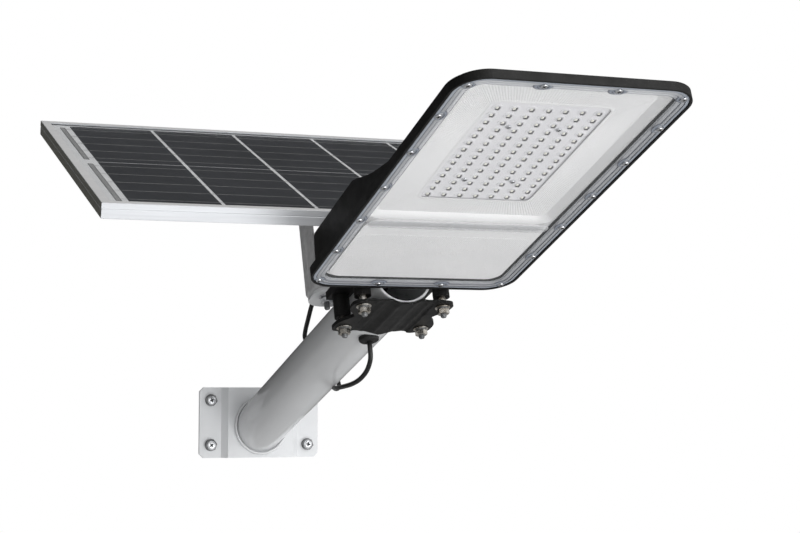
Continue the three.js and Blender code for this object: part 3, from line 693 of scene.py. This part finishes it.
def arm_tube():
    """The tube, cut square to the wall at its foot, with eased rims at its open end."""
    sides = 128
    outer, inner = TUBE_RADIUS, TUBE_RADIUS - TUBE_WALL
    slope = math.radians(ARM_SLOPE)
    start = (PLATE_FACE - GAP) / math.cos(slope)

    def foot(radius):
        return [(x, start - z * math.tan(slope), z) for x, z, _ in circle(radius, 0, sides)]

    def ring(radius, y):
        return [(x, y, z) for x, z, _ in circle(radius, 0, sides)]

    rings = [foot(outer), ring(outer, -40)]
    rings += [ring(outer, -100 * k) for k in range(1, 6)]
    rings += [ring(outer, TUBE_END + 0.7), ring(outer - 0.5, TUBE_END)]
    rings += [ring(inner + 0.5, TUBE_END), ring(inner, TUBE_END + 0.6)]
    rings += [ring(inner, -40), foot(inner)]
    shape = Shape().loft(rings, loop=True)
    shape.make("arm_tube_detail", PAINT, "bracket", "painted_steel", ARM, ["arm_tube"])


def weld_bead():
    """A rippled weld round the tube's foot, painted over."""
    sides, across = 160, 10
    slope = math.radians(ARM_SLOPE)
    rings = []
    for i in range(sides):
        a = 2 * math.pi * i / sides
        ripple = 0.22 * math.sin(a * 40) + 0.12 * math.sin(a * 13 + 1)
        ring = []
        for k in range(across):
            b = 2 * math.pi * k / across
            reach = TUBE_RADIUS + 0.6 + (1.55 + 0.4 * ripple) * (1 + math.cos(b)) * 0.9
            lift = 2.3 + (1.9 + ripple) * math.sin(b)
            x, up = reach * math.cos(a), reach * math.sin(a) / math.cos(slope)
            ring.append((x, PLATE_FACE - GAP - lift, ARM_FOOT + up - PLATE_FACE * math.tan(slope)))
        rings.append(ring)
    shape = Shape().loft(rings, loop=True)
    shape.make("weld_bead_detail", PAINT, "bracket", "painted_steel", LAMP, ["weld_bead"])


wall_bolts()
arm_tube()
weld_bead()
dress("wall_plate", WORN_PAINT, 0.7)
dress("panel_saddle", PAINT, 0.7)
dress("inner_lead", JACKET)


# ---- Yoke and its bolts ----
def yoke_arm(name, sign):
    """A pressed steel angle: foot, bend, upright with a raised rib, and a round end at the pivot."""
    half, thick, foot_inner = 18.0, 3.0, 29.0
    low = EAR_UNDER + EAR_THICK + GAP
    bend = 5.0
    across = 24
    upright = 1.5
    line = [(foot_inner, low, 0.0)]
    line.append((YOKE_OUTER - bend, low, 0.0))
    line += [
        (YOKE_OUTER - bend + bend * math.sin(a), low + bend - bend * math.cos(a), a)
        for a in [math.pi / 2 * k / 6 for k in range(1, 7)]
    ]
    steps = 40
    top = PIVOT_UP + half
    line += [(YOKE_OUTER, low + bend + (top - low - bend) * k / steps, math.pi / 2) for k in range(1, steps)]
    line += [(YOKE_OUTER, top - d, math.pi / 2) for d in (1.2, 0.5, 0.05)]

    def width(z, turned):
        if turned < upright or z < PIVOT_UP:
            return half
        return math.sqrt(max(0.05, half * half - (z - PIVOT_UP) ** 2))

    def rib(u, z, turned):
        if turned < upright:
            return 0.0
        ends = max(0.0, min(1.0, (z - low - 10) / 8, (PIVOT_UP - half - z) / 8))
        ends = ends * ends * (3 - 2 * ends)
        side_fall = max(0.0, min(1.0, (7.5 - abs(u)) / 3.0))
        return 1.3 * ends * side_fall * side_fall * (3 - 2 * side_fall)

    outer, inner = [], []
    for x, z, turned in sorted(line, key=lambda p: (p[2], p[1], p[0])):
        w = width(z, turned)
        row_out, row_in = [], []
        for k in range(across + 1):
            u = -w + 2 * w * k / across
            push = rib(u, z, turned)
            nx, nz = math.sin(turned), -math.cos(turned)
            row_out.append((sign * (x - push * nx), SADDLE_BOLT[1] + u, z - push * nz))
            row_in.append((sign * (x - (thick + push) * nx), SADDLE_BOLT[1] + u, z - (thick + push) * nz))
        outer.append(row_out)
        inner.append(row_in)
    rings = [a + b[::-1] for a, b in zip(outer, inner)]
    shape = Shape().loft(rings)
    shape.make(f"{name}_detail", GALVANISED, "bracket", "galvanised_steel", ARM, [name], 30)


for word, sign in (("left", -1), ("right", 1)):
    yoke_arm(f"yoke_arm_{word}", sign)
    bolt_x = sign * SADDLE_BOLT[0]
    clamped_bolt(
        f"saddle_bolt_{word}_detail",
        "bracket",
        ARM,
        (bolt_x, SADDLE_BOLT[1], YOKE_FOOT_TOP),
        (bolt_x, SADDLE_BOLT[1], EAR_UNDER),
        (0, 0, -1),
        14.5,
        [ZINC, DARK_STEEL],
    )


# ---- Panel ----
def pivot_in_panel():
    place = ARM @ (Vector((0, SADDLE_BOLT[1], PIVOT_UP)) * MM)
    return (PANEL.inverted() @ place) / MM


def panel_frame():
    """Four mitred aluminium extrusions: a bright upper band, a fine groove and a recessed lower band. Their
    tops carry a painted highlight, and their faces along x a painted shade.
    """
    lip, foot, web = 9.0, 16.0, 1.6
    profile = [
        (0.35, 0), (0, -0.35), (0, -5.6), (0.45, -6.0), (0.45, -6.5), (0.2, -6.8), (0.45, -15.05),
        (0.8, -15.4),
        (foot, -15.4), (foot, -13.9), (web, -13.9), (web, -6.5), (lip, -6.5), (lip, -5), (web, -5),
        (web, -1.2), (lip, -1.2), (lip, -0.3), (lip - 0.3, 0),
    ]
    x0, x1, d, slack = PANEL_LEFT, PANEL_RIGHT, PANEL_DEPTH, 0.12
    members = {
        "front": [lambda u, h: (x0 + u + slack, u, h), lambda u, h: (x1 - u - slack, u, h)],
        "back": [lambda u, h: (x1 - u - slack, d - u, h), lambda u, h: (x0 + u + slack, d - u, h)],
        "left": [lambda u, h: (x0 + u, d - u - slack, h), lambda u, h: (x0 + u, u + slack, h)],
        "right": [lambda u, h: (x1 - u, u + slack, h), lambda u, h: (x1 - u, d - u - slack, h)],
    }
    for side_name, (start, end) in members.items():
        rings = [[start(u, h) for u, h in profile], [end(u, h) for u, h in profile]]
        node = f"panel_frame_{side_name}"
        materials = [ALUMINIUM, ALUMINIUM_SIDE_SHADE, ALUMINIUM_TOP_HIGHLIGHT]
        member = Shape().loft(rings)
        piece = member.make(f"{node}_detail", materials, "panel", "frame_aluminium", PANEL, [node], 25)
        # Faces that point up take the near-white copy as painted highlight; faces that point along x take the
        # dark olive copy as painted shade.
        for face in piece.data.polygons:
            on_top = face.normal.z > 0.8
            face.material_index = 2 if on_top else int(abs(face.normal.x) > 0.8)


CELL_LEFT = PANEL_LEFT + 29.5
CELL_RIGHT = PANEL_RIGHT - 11.5
CELL_PITCH = 92.8
CELL_GAP = 3.8
ROW_FRONT = 11.0
ROW_DEEP = 164.5
ROW_GAP = 1.8
CELL_TOP = -2.6
PANE_TOP = -1.5


def strip(x0, x1, y0, y1):
    return [(x0, y0), (x1, y0), (x1, y1), (x0, y1)]


def solar_cells():
    """Two rows of cells on a white sheet, with busbars along them and a ribbon per row at the left end."""
    white = Shape()
    sheet = strip(PANEL_LEFT + 2, PANEL_RIGHT - 2, 2, PANEL_DEPTH - 2)
    white.plate(sheet, CELL_TOP - 0.5, CELL_TOP - 0.2)
    white.make("laminate_white", LAMINATE, "panel", "white_plastic", PANEL)
    cells = Shape()
    bars = Shape()
    ribbons = Shape()
    columns = math.ceil((CELL_RIGHT - CELL_LEFT) / CELL_PITCH)
    for row in range(2):
        y0 = ROW_FRONT + row * (ROW_DEEP + ROW_GAP)
        for column in range(columns):
            x0 = CELL_LEFT + column * CELL_PITCH
            x1 = min(x0 + CELL_PITCH - CELL_GAP, CELL_RIGHT)
            cells.plate(rounded(x0, x1, y0, y0 + ROW_DEEP, 1.2, 2), CELL_TOP - 0.2, CELL_TOP)
        for bar in range(5):
            y = y0 + ROW_DEEP * (bar + 0.5) / 5
            bars.plate(strip(CELL_LEFT - 8, CELL_RIGHT, y - 0.45, y + 0.45), CELL_TOP, CELL_TOP + 0.03)
        ribbon = strip(CELL_LEFT - 12, CELL_LEFT - 6.5, y0 + 8, y0 + ROW_DEEP - 8)
        ribbons.plate(ribbon, CELL_TOP - 0.2, CELL_TOP + 0.02, 0)
        face = strip(CELL_LEFT - 11, CELL_LEFT - 7.5, y0 + 10, y0 + ROW_DEEP - 10)
        ribbons.plate(face, CELL_TOP, CELL_TOP + 0.04, 1)
    cells.make("solar_cells_detail", SILICON, "panel", "silicon", PANEL, ["solar_cells"])
    bars.make("panel_busbars", TINNED, "panel", "silicon", PANEL)
    ribbons.make("panel_ribbons", [RIBBON_EDGE, RIBBON], "panel", "silicon", PANEL)
    pane = Shape()
    pane.plate(sheet, CELL_TOP + 0.3, PANE_TOP)
    pane.make("panel_glass_detail", GLASS, "panel", "panel_glass", PANEL, ["panel_glass"])


panel_frame()
solar_cells()
dress("panel_backsheet", BACKSHEET)
dress("junction_box", BLACK_PLASTIC, 0.8)
dress("junction_lid", BLACK_PLASTIC, 0.8)
hub = pivot_in_panel()
for word, sign in (("left", -1), ("right", 1)):
    dress(f"panel_rail_{word}", GALVANISED, 0.5)
    clamped_bolt(
        f"pivot_bolt_{word}_detail",
        "panel",
        PANEL,
        (sign * YOKE_OUTER, hub.y, hub.z),
        (sign * 50, hub.y, hub.z),
        (-sign, 0, 0),
        10,
        [ZINC, DARK_STEEL],
    )


# ---- Head: cover, screws, reflector, LEDs ----
def head_outline(inset, corner=28.0, steps=10):
    x = HEAD_HALF - inset
    return rounded(-x, x, HEAD_FRONT + inset, HEAD_REAR - inset, max(corner - inset, 6), steps)


def screw_places():
    places = [(s * SCREW_SIDE, SCREW_ROW - v) for v in (67.6, 134.4, 200, 265.9, 329.3) for s in (-1, 1)]
    places += [(s * SCREW_CORNER, SCREW_ROW - v) for v in (0, 379.9) for s in (-1, 1)]
    places += [(s * SCREW_END, SCREW_ROW - v) for v in (-5, 386.3) for s in (-1, 1)]
    return places


RIM_STEPS = (
    # inset, drop towards the street, and the strip's material: 0 clear, 1 groove with painted shade, 2 tinted
    # edge
    (2.4, 0.5, 2),
    (3.0, 1.2, 2),
    (5.3, 1.2, 1),
    (5.6, 0.2, 1),
    (6.0, 0.9, 0),
    (6.6, 1.2, 0),
    (8.7, 1.2, 0),
    (9.2, 0.9, 1),
    (9.5, 0.3, 1),
    (9.9, 0.5, 0),
    (13.0, 0.5, 0),
    (13.6, 0.1, 1),
    (14.0, 0.1, 0),
)


def lens_cover():
    """The clear cover: a window, and round it a stepped rim with two grooves and a boss at each screw."""
    face = COVER_FACE + 0.9
    rim = Shape()
    for (inset, drop, slot), (next_inset, next_drop, _) in zip(RIM_STEPS, RIM_STEPS[1:]):
        near = [(x, y, face - drop) for x, y in head_outline(inset)]
        far = [(x, y, face - next_drop) for x, y in head_outline(next_inset)]
        rim.loft([near, far], slot, caps=False)
    last_inset, last_drop, _ = RIM_STEPS[-1]
    back = [
        [(x, y, face - last_drop) for x, y in head_outline(last_inset)],
        [(x, y, face + 1.3) for x, y in head_outline(last_inset)],
        [(x, y, face + 1.3) for x, y in head_outline(2.4)],
        [(x, y, face - 0.5) for x, y in head_outline(2.4)],
    ]
    rim.loft(back, 0, caps=False)
    # The groove strips take the dark film: painted shade in the cover's grooves.
    looks = [COVER_RIM, COVER_GROOVE_SHADE, COVER_EDGE]
    rim.make("lens_cover_rim", looks, "head", "clear_plastic", HEAD, ["lens_cover"], 28)
    window = Shape()
    window.plate(head_outline(14.1), face - 0.1, face + 1.3, edge=0.2)
    window.make("lens_cover_window", COVER, "head", "clear_plastic", HEAD)


BOSS_STEPS = (
    # size, lift, and the strip's material: 0 boss, 1 groove with painted shade
    (1.0, 0.0, 1),
    (1.0, 0.35, 1),
    (0.88, 0.6, 0),
    (0.8, 0.85, 0),
    (0.62, 0.85, 1),
    (0.52, 0.3, 1),
)


def cover_bosses():
    """Oval bosses that lean in from the rim, each ringed by a dark edge of painted shade."""
    shape = Shape()
    for x, y in screw_places():
        at_end = abs(abs(x) - SCREW_END) < 0.1
        at_corner = abs(abs(x) - SCREW_CORNER) < 0.1
        across, down = (8.6, 5.4) if at_end else (5.4, 8.6)
        if at_corner:
            across = down = 6.6
        inwards = Vector((0, 0, 0))
        if at_end:
            inwards.y = math.copysign(1.6, HEAD_MIDDLE - y)
        elif not at_corner:
            inwards.x = -math.copysign(1.6, x)
        matrix = Matrix.Translation(inwards) @ along((x, y, COVER_FACE + 0.55), (0, 0, -1))
        for (size, lift, slot), (next_size, next_lift, _) in zip(BOSS_STEPS, BOSS_STEPS[1:]):
            near = oval(across * size, down * size, lift)
            far = oval(across * next_size, down * next_size, next_lift)
            shape.loft([near, far], slot, matrix, False)
        size, lift, _ = BOSS_STEPS[-1]
        inner = oval(across * size, down * size, lift)
        outer = oval(across, down, 0)
        shape.add(inner, [list(range(40))], 0, matrix)
        shape.add(outer, [list(range(40))[::-1]], 0, matrix)
    shape.make("cover_bosses", [COVER_BOSS, COVER_GROOVE_SHADE], "head", "clear_plastic", HEAD, (), 30)


def cover_screws():
    for number, (x, y) in enumerate(screw_places(), 1):
        matrix = along((x, y, COVER_FACE + 0.4), (0, 0, -1)) @ Matrix.Rotation(0.7 * number, 4, "Z")
        shape = Shape()
        # The cross recess takes the near-black film as painted shade.
        cross_recess(shape, 3.0, 1.9, 0.5, 0.9, -0.6, 1.9, matrix, (0, 1), 48)
        shape.make(f"cover_screw_{number:02d}", [ZINC, RECESS_SHADE_AND_DARK_MARKS], "head", "zinc_fastener", HEAD)


WINDOW_T = (700.0, 876.0)
WINDOW_X = 53.3
TRAY_T = (671.2, 901.8)
TRAY_X = 82.4
TRAY_FACE = -12.45
DESK_FACE = -20.3


def reach(outline, middle, angle):
    """Distance from a point on the head's middle line to an outline round it, in the angle's direction."""
    dx, dy = math.cos(angle), math.sin(angle)
    for (x0, y0), (x1, y1) in zip(outline, outline[1:] + outline[:1]):
        ex, ey = x1 - x0, y1 - y0
        turn = dx * ey - dy * ex
        if abs(turn) < 1e-9:
            continue
        far = (x0 * ey - (y0 - middle) * ex) / turn
        share = (x0 * dy - (y0 - middle) * dx) / turn
        if far > 0 and -1e-6 <= share <= 1 + 1e-6:
            return far
    return 0.0


def reflector_rays():
    """The tray's sunburst: shallow ridges that run from the LED window out to the tray's walls."""
    middle = -(WINDOW_T[0] + WINDOW_T[1]) / 2
    inner = rounded(-WINDOW_X, WINDOW_X, -WINDOW_T[1], -WINDOW_T[0], 7, 6)
    outer = rounded(-TRAY_X, TRAY_X, -TRAY_T[1], -TRAY_T[0], 7, 6)
    angles = []
    rim = [math.atan2(y - middle, x) for x, y in dense(outer, 2.8)]
    for a, b in zip(rim, rim[1:] + rim[:1]):
        step = (b - a) % (2 * math.pi)
        angles += [a, a + step / 2]
    rings = [[] for _ in range(8)]
    for k, angle in enumerate(angles):
        r0, r1 = reach(inner, middle, angle), reach(outer, middle, angle)
        ridge = 0.36 if k % 2 else 0.0
        path = (
            (r0, 0.0, 0),
            (r0, -0.55, 0),
            (r0 + 1.2, -0.6, 0),
            (r0 + 3.5, -0.1, 0.7),
            (r0 + 8, -0.1, 1),
            (r1 - 3, -0.1, 1),
            (r1, -0.05, 0.3),
            (r1, 0.0, 0),
        )
        for ring, (r, lift, share) in zip(rings, path):
            level = TRAY_FACE + lift - ridge * share
            ring.append((r * math.cos(angle), middle + r * math.sin(angle), level))
    Shape().loft(rings, loop=True).make("reflector_rays", REFLECTOR, "head", "white_plastic", HEAD, (), 9)


def reflector_ribs():
    """Fine parallel ribs on the rear desk, cut to a rounded rectangle."""
    x_half, t0, t1, corner = 86.0, 543.0, 636.0, 13.0
    count = 86
    rings = []
    for k in range(2 * count + 1):
        x = -x_half + x_half * k / count
        past = max(0.0, abs(x) - (x_half - corner))
        cut = corner - math.sqrt(max(0.0, corner * corner - past * past))
        low = DESK_FACE - (0.24 if k % 2 else 0.03)
        y0, y1 = -t0 - cut, -t1 + cut
        rings.append([(x, y0, low), (x, y1, low), (x, y1, DESK_FACE), (x, y0, DESK_FACE)])
    Shape().loft(rings).make("reflector_ribs", REFLECTOR, "head", "white_plastic", HEAD, (), 3)


def cover_bead():
    """A shallow bead moulded across the cover, over the edge between the desk and the tray."""
    x_half, t0, t1 = 88, 655, 671
    rings = []
    for inset, lift in ((0, 0.02), (0.2, -0.25), (1.6, -0.75), (3.2, -0.95), (5.0, -1.0)):
        outline = rounded(-x_half + inset, x_half - inset, -t1 + inset, -t0 - inset, 8 - inset * 0.95, 6)
        rings.append([(x, y, COVER_FACE + 0.8 + lift) for x, y in outline])
    Shape().loft(rings).make("cover_bead", COVER_BEAD, "head", "clear_plastic", HEAD, (), 40)


LED_PITCH = (15.17, 12.23)
LED_FIRST = 705.4
LED_ROWS = 14
LED_COLUMNS = 7
LED_SEAT = ((4.7, 0), (4.6, 0.25), (4.1, 0.4), (3.4, 0.4), (3.2, 0.15), (0.1, 0.15))
LED_DOME = ((3.4, 0.3), (3.3, 1.0), (2.8, 1.9), (1.9, 2.6), (0.9, 2.9), (0.1, 2.95))
BOARD_FACE = -11.32


def led_array():
    """Seven by fourteen LEDs: a low round seat, a phosphor square, a dark hooked mark and a clear dome."""
    domes, bases = Shape(), Shape()
    for row in range(LED_ROWS):
        for column in range(LED_COLUMNS):
            x = (column - LED_COLUMNS // 2) * LED_PITCH[0]
            y = -LED_FIRST - row * LED_PITCH[1]
            matrix = along((x, y, BOARD_FACE), (0, 0, -1))
            flat = Matrix.Translation((x, y, BOARD_FACE)) @ Matrix.Scale(-1, 4, (0, 0, 1))
            bases.lathe(LED_SEAT, 0, matrix, 24)
            bases.plate(rounded(-1.3, 0.8, -1.1, 1.1, 0.3, 2), 0.1, 0.9, 1, flat)
            # Two near-black bars form the dark hooked mark beside each phosphor square.
            bases.plate(rounded(1.5, 2.2, -1.4, 2.4, 0.3, 2), 0.1, 1.3, 2, flat)
            bases.plate(rounded(-1.2, 2.2, 2.0, 2.7, 0.3, 2), 0.1, 1.3, 2, flat)
            domes.lathe(LED_DOME, 0, matrix, 16)
    bases.make("led_chips", [LED_BOARD, PHOSPHOR, RECESS_SHADE_AND_DARK_MARKS], "head", "led_white", HEAD)
    domes.make("led_domes", DOME, "head", "clear_plastic", HEAD)
    screws = Shape()
    for x in (-1.5 * LED_PITCH[0], 1.5 * LED_PITCH[0]):
        for row in (2.5, 10.5):
            matrix = along((x, -LED_FIRST - row * LED_PITCH[1], BOARD_FACE), (0, 0, -1))
            # The cross recess takes the near-black film as painted shade.
            cross_recess(screws, 2.6, 1.7, 0.45, 0.8, 0, 1.6, matrix, (0, 1), 32)
    screws.make("led_board_screws", [ZINC, RECESS_SHADE_AND_DARK_MARKS], "head", "zinc_fastener", HEAD)


lens_cover()
cover_bosses()
cover_screws()
reflector_rays()
reflector_ribs()
cover_bead()
led_array()
dress("head_housing", BLACK, 0.9, 2)
dress("cover_gasket", RUBBER)
dress("reflector", REFLECTOR, 1.0, 3)
dress("led_board", LED_BOARD)
dress("battery_pack", WRAP)
dress("controller_board", CIRCUIT)
dress("head_gland", BLACK_PLASTIC)


# ---- Tube clamp ----
def clamp_plate():
    """The clamp's lower half: a casting with ridges, a trough under the tube and a scalloped outline."""
    t0, t1, x_half, corner = 431.0, 518.0, 52.0, 12.0
    top, low = -27.0, -30.5
    rows, columns = 44, 84
    trough = TUBE_RADIUS + 4.0

    def lower(x, t):
        base = min(low, -math.sqrt(max(0.0, trough * trough - x * x)))
        ridge = max(math.exp(-(((x - at) / 2.4) ** 2)) for at in (-23, -8, 8, 23))
        fade = min(1.0, (t - t0) / 8, (t1 - t) / 8)
        return base + 1.3 - 1.3 * ridge * fade if abs(x) < 30 else base

    def upper(x):
        if abs(x) < TUBE_RADIUS + 0.3:
            return min(top, -math.sqrt(max(0.0, (TUBE_RADIUS + 0.35) ** 2 - x * x)))
        return top

    def scallop(x):
        return 2.4 * (1 - math.cos(2 * math.pi * x / 17)) / 2

    def outward(x, t, share):
        return -(t + scallop(x) * (1 - share) - 0.6 * scallop(x) * share)

    rings = []
    for r in range(rows + 1):
        share = r / rows
        t = t0 + (t1 - t0) * share
        gap = min(t - t0, t1 - t)
        width = x_half - corner + math.sqrt(max(0.0, corner**2 - max(0.0, corner - gap) ** 2))
        width -= 11.0 * math.exp(-(((t - 476.2) / 13.0) ** 2))
        xs = [-width + 2 * width * c / columns for c in range(columns + 1)]
        ring = [(x, outward(x, t, share), min(lower(x, t), upper(x) - 1.5)) for x in xs]
        ring += [(x, outward(x, t, share), upper(x)) for x in reversed(xs)]
        rings.append(ring)
    shape = Shape().loft(rings)
    shape.make("clamp_plate_detail", BLACK_SATIN, "head", "black_casting", ARM, ["clamp_plate"], 38)


clamp_plate()
for row, at in enumerate(CLAMP_BOLTS, 1):
    for word, sign in (("left", -1), ("right", 1)):
        clamped_bolt(
            f"clamp_bolt_{word}_{row}_detail",
            "head",
            ARM,
            (sign * CLAMP_X, at, 11),
            (sign * CLAMP_X, at, -30.5),
            (0, 0, -1),
            11,
            [WARM_ZINC, DARK_STEEL],
        )


# ---- Floor and light ----
def floor():
    """A pale round floor below the lamp. The photo's view misses it; other views can show its edge."""
    points = [(0, 0, 0)]
    faces = []
    sides = 96
    for ring_number, radius in enumerate((0.6, 1.2, 2.0, 3.2, 5.0)):
        start = len(points)
        points += [(radius * math.cos(a), radius * math.sin(a), 0) for a in turns(sides)]
        for i in range(sides):
            j = (i + 1) % sides
            if ring_number == 0:
                faces.append([0, start + i, start + j])
            else:
                faces.append([start - sides + i, start + i, start + j, start - sides + j])
    mesh = bpy.data.meshes.new("floor")
    mesh.from_pydata(points, [], faces)
    mesh.update()
    n = Nodes("floor_pale")
    n.set(
        Base_Color=n.blend(n.spread(n.noise(2.0, 3.0), 0.0, 1.0), (0.9, 0.9, 0.9), (0.94, 0.94, 0.94)),
        Roughness=0.8,
    )
    mesh.materials.append(n.material)
    made = bpy.data.objects.new("floor", mesh)
    made.location = (0, -0.45, -1.3)
    bpy.context.scene.collection.objects.link(made)


def world_light():
    """Even white for the camera, and for light a soft field, strongest from the street and from below."""
    world = bpy.data.worlds.new("studio")
    bpy.context.scene.world = world
    world.use_nodes = True
    tree = world.node_tree
    tree.nodes.clear()
    output = tree.nodes.new("ShaderNodeOutputWorld")
    seen, lit = tree.nodes.new("ShaderNodeBackground"), tree.nodes.new("ShaderNodeBackground")
    seen.inputs["Color"].default_value = (1, 1, 1, 1)
    mix = tree.nodes.new("ShaderNodeMixShader")
    path = tree.nodes.new("ShaderNodeLightPath")
    coordinates = tree.nodes.new("ShaderNodeTexCoord")
    dot = tree.nodes.new("ShaderNodeVectorMath")
    dot.operation = "DOT_PRODUCT"
    dot.inputs[1].default_value = Vector((0.42, -0.72, -0.55)).normalized()
    strength = tree.nodes.new("ShaderNodeMapRange")
    strength.interpolation_type = "SMOOTHSTEP"
    for key, value in {"From Min": -0.45, "From Max": 0.8, "To Min": 0.08, "To Max": 1.85}.items():
        strength.inputs[key].default_value = value
    link = tree.links.new
    link(coordinates.outputs["Generated"], dot.inputs[0])
    link(dot.outputs["Value"], strength.inputs["Value"])
    link(strength.outputs["Result"], lit.inputs["Strength"])
    link(path.outputs["Is Camera Ray"], mix.inputs["Fac"])
    link(lit.outputs["Background"], mix.inputs[1])
    link(seen.outputs["Background"], mix.inputs[2])
    link(mix.outputs["Shader"], output.inputs["Surface"])


def soft_box(name, place, target, size, power):
    light = bpy.data.lights.new(name, "AREA")
    light.shape = "DISK"
    light.size = size
    light.energy = power
    box = bpy.data.objects.new(name, light)
    box.location = place
    box.rotation_euler = (Vector(target) - Vector(place)).to_track_quat("-Z", "Y").to_euler()
    bpy.context.scene.collection.objects.link(box)


floor()
world_light()
soft_box("key_light", (0.95, -2.65, 1.95), (0, -0.9, 0.3), 0.9, 18)
soft_box("fill_low", (0.7, -1.9, -1.1), (0, -0.6, 0.15), 1.8, 26)
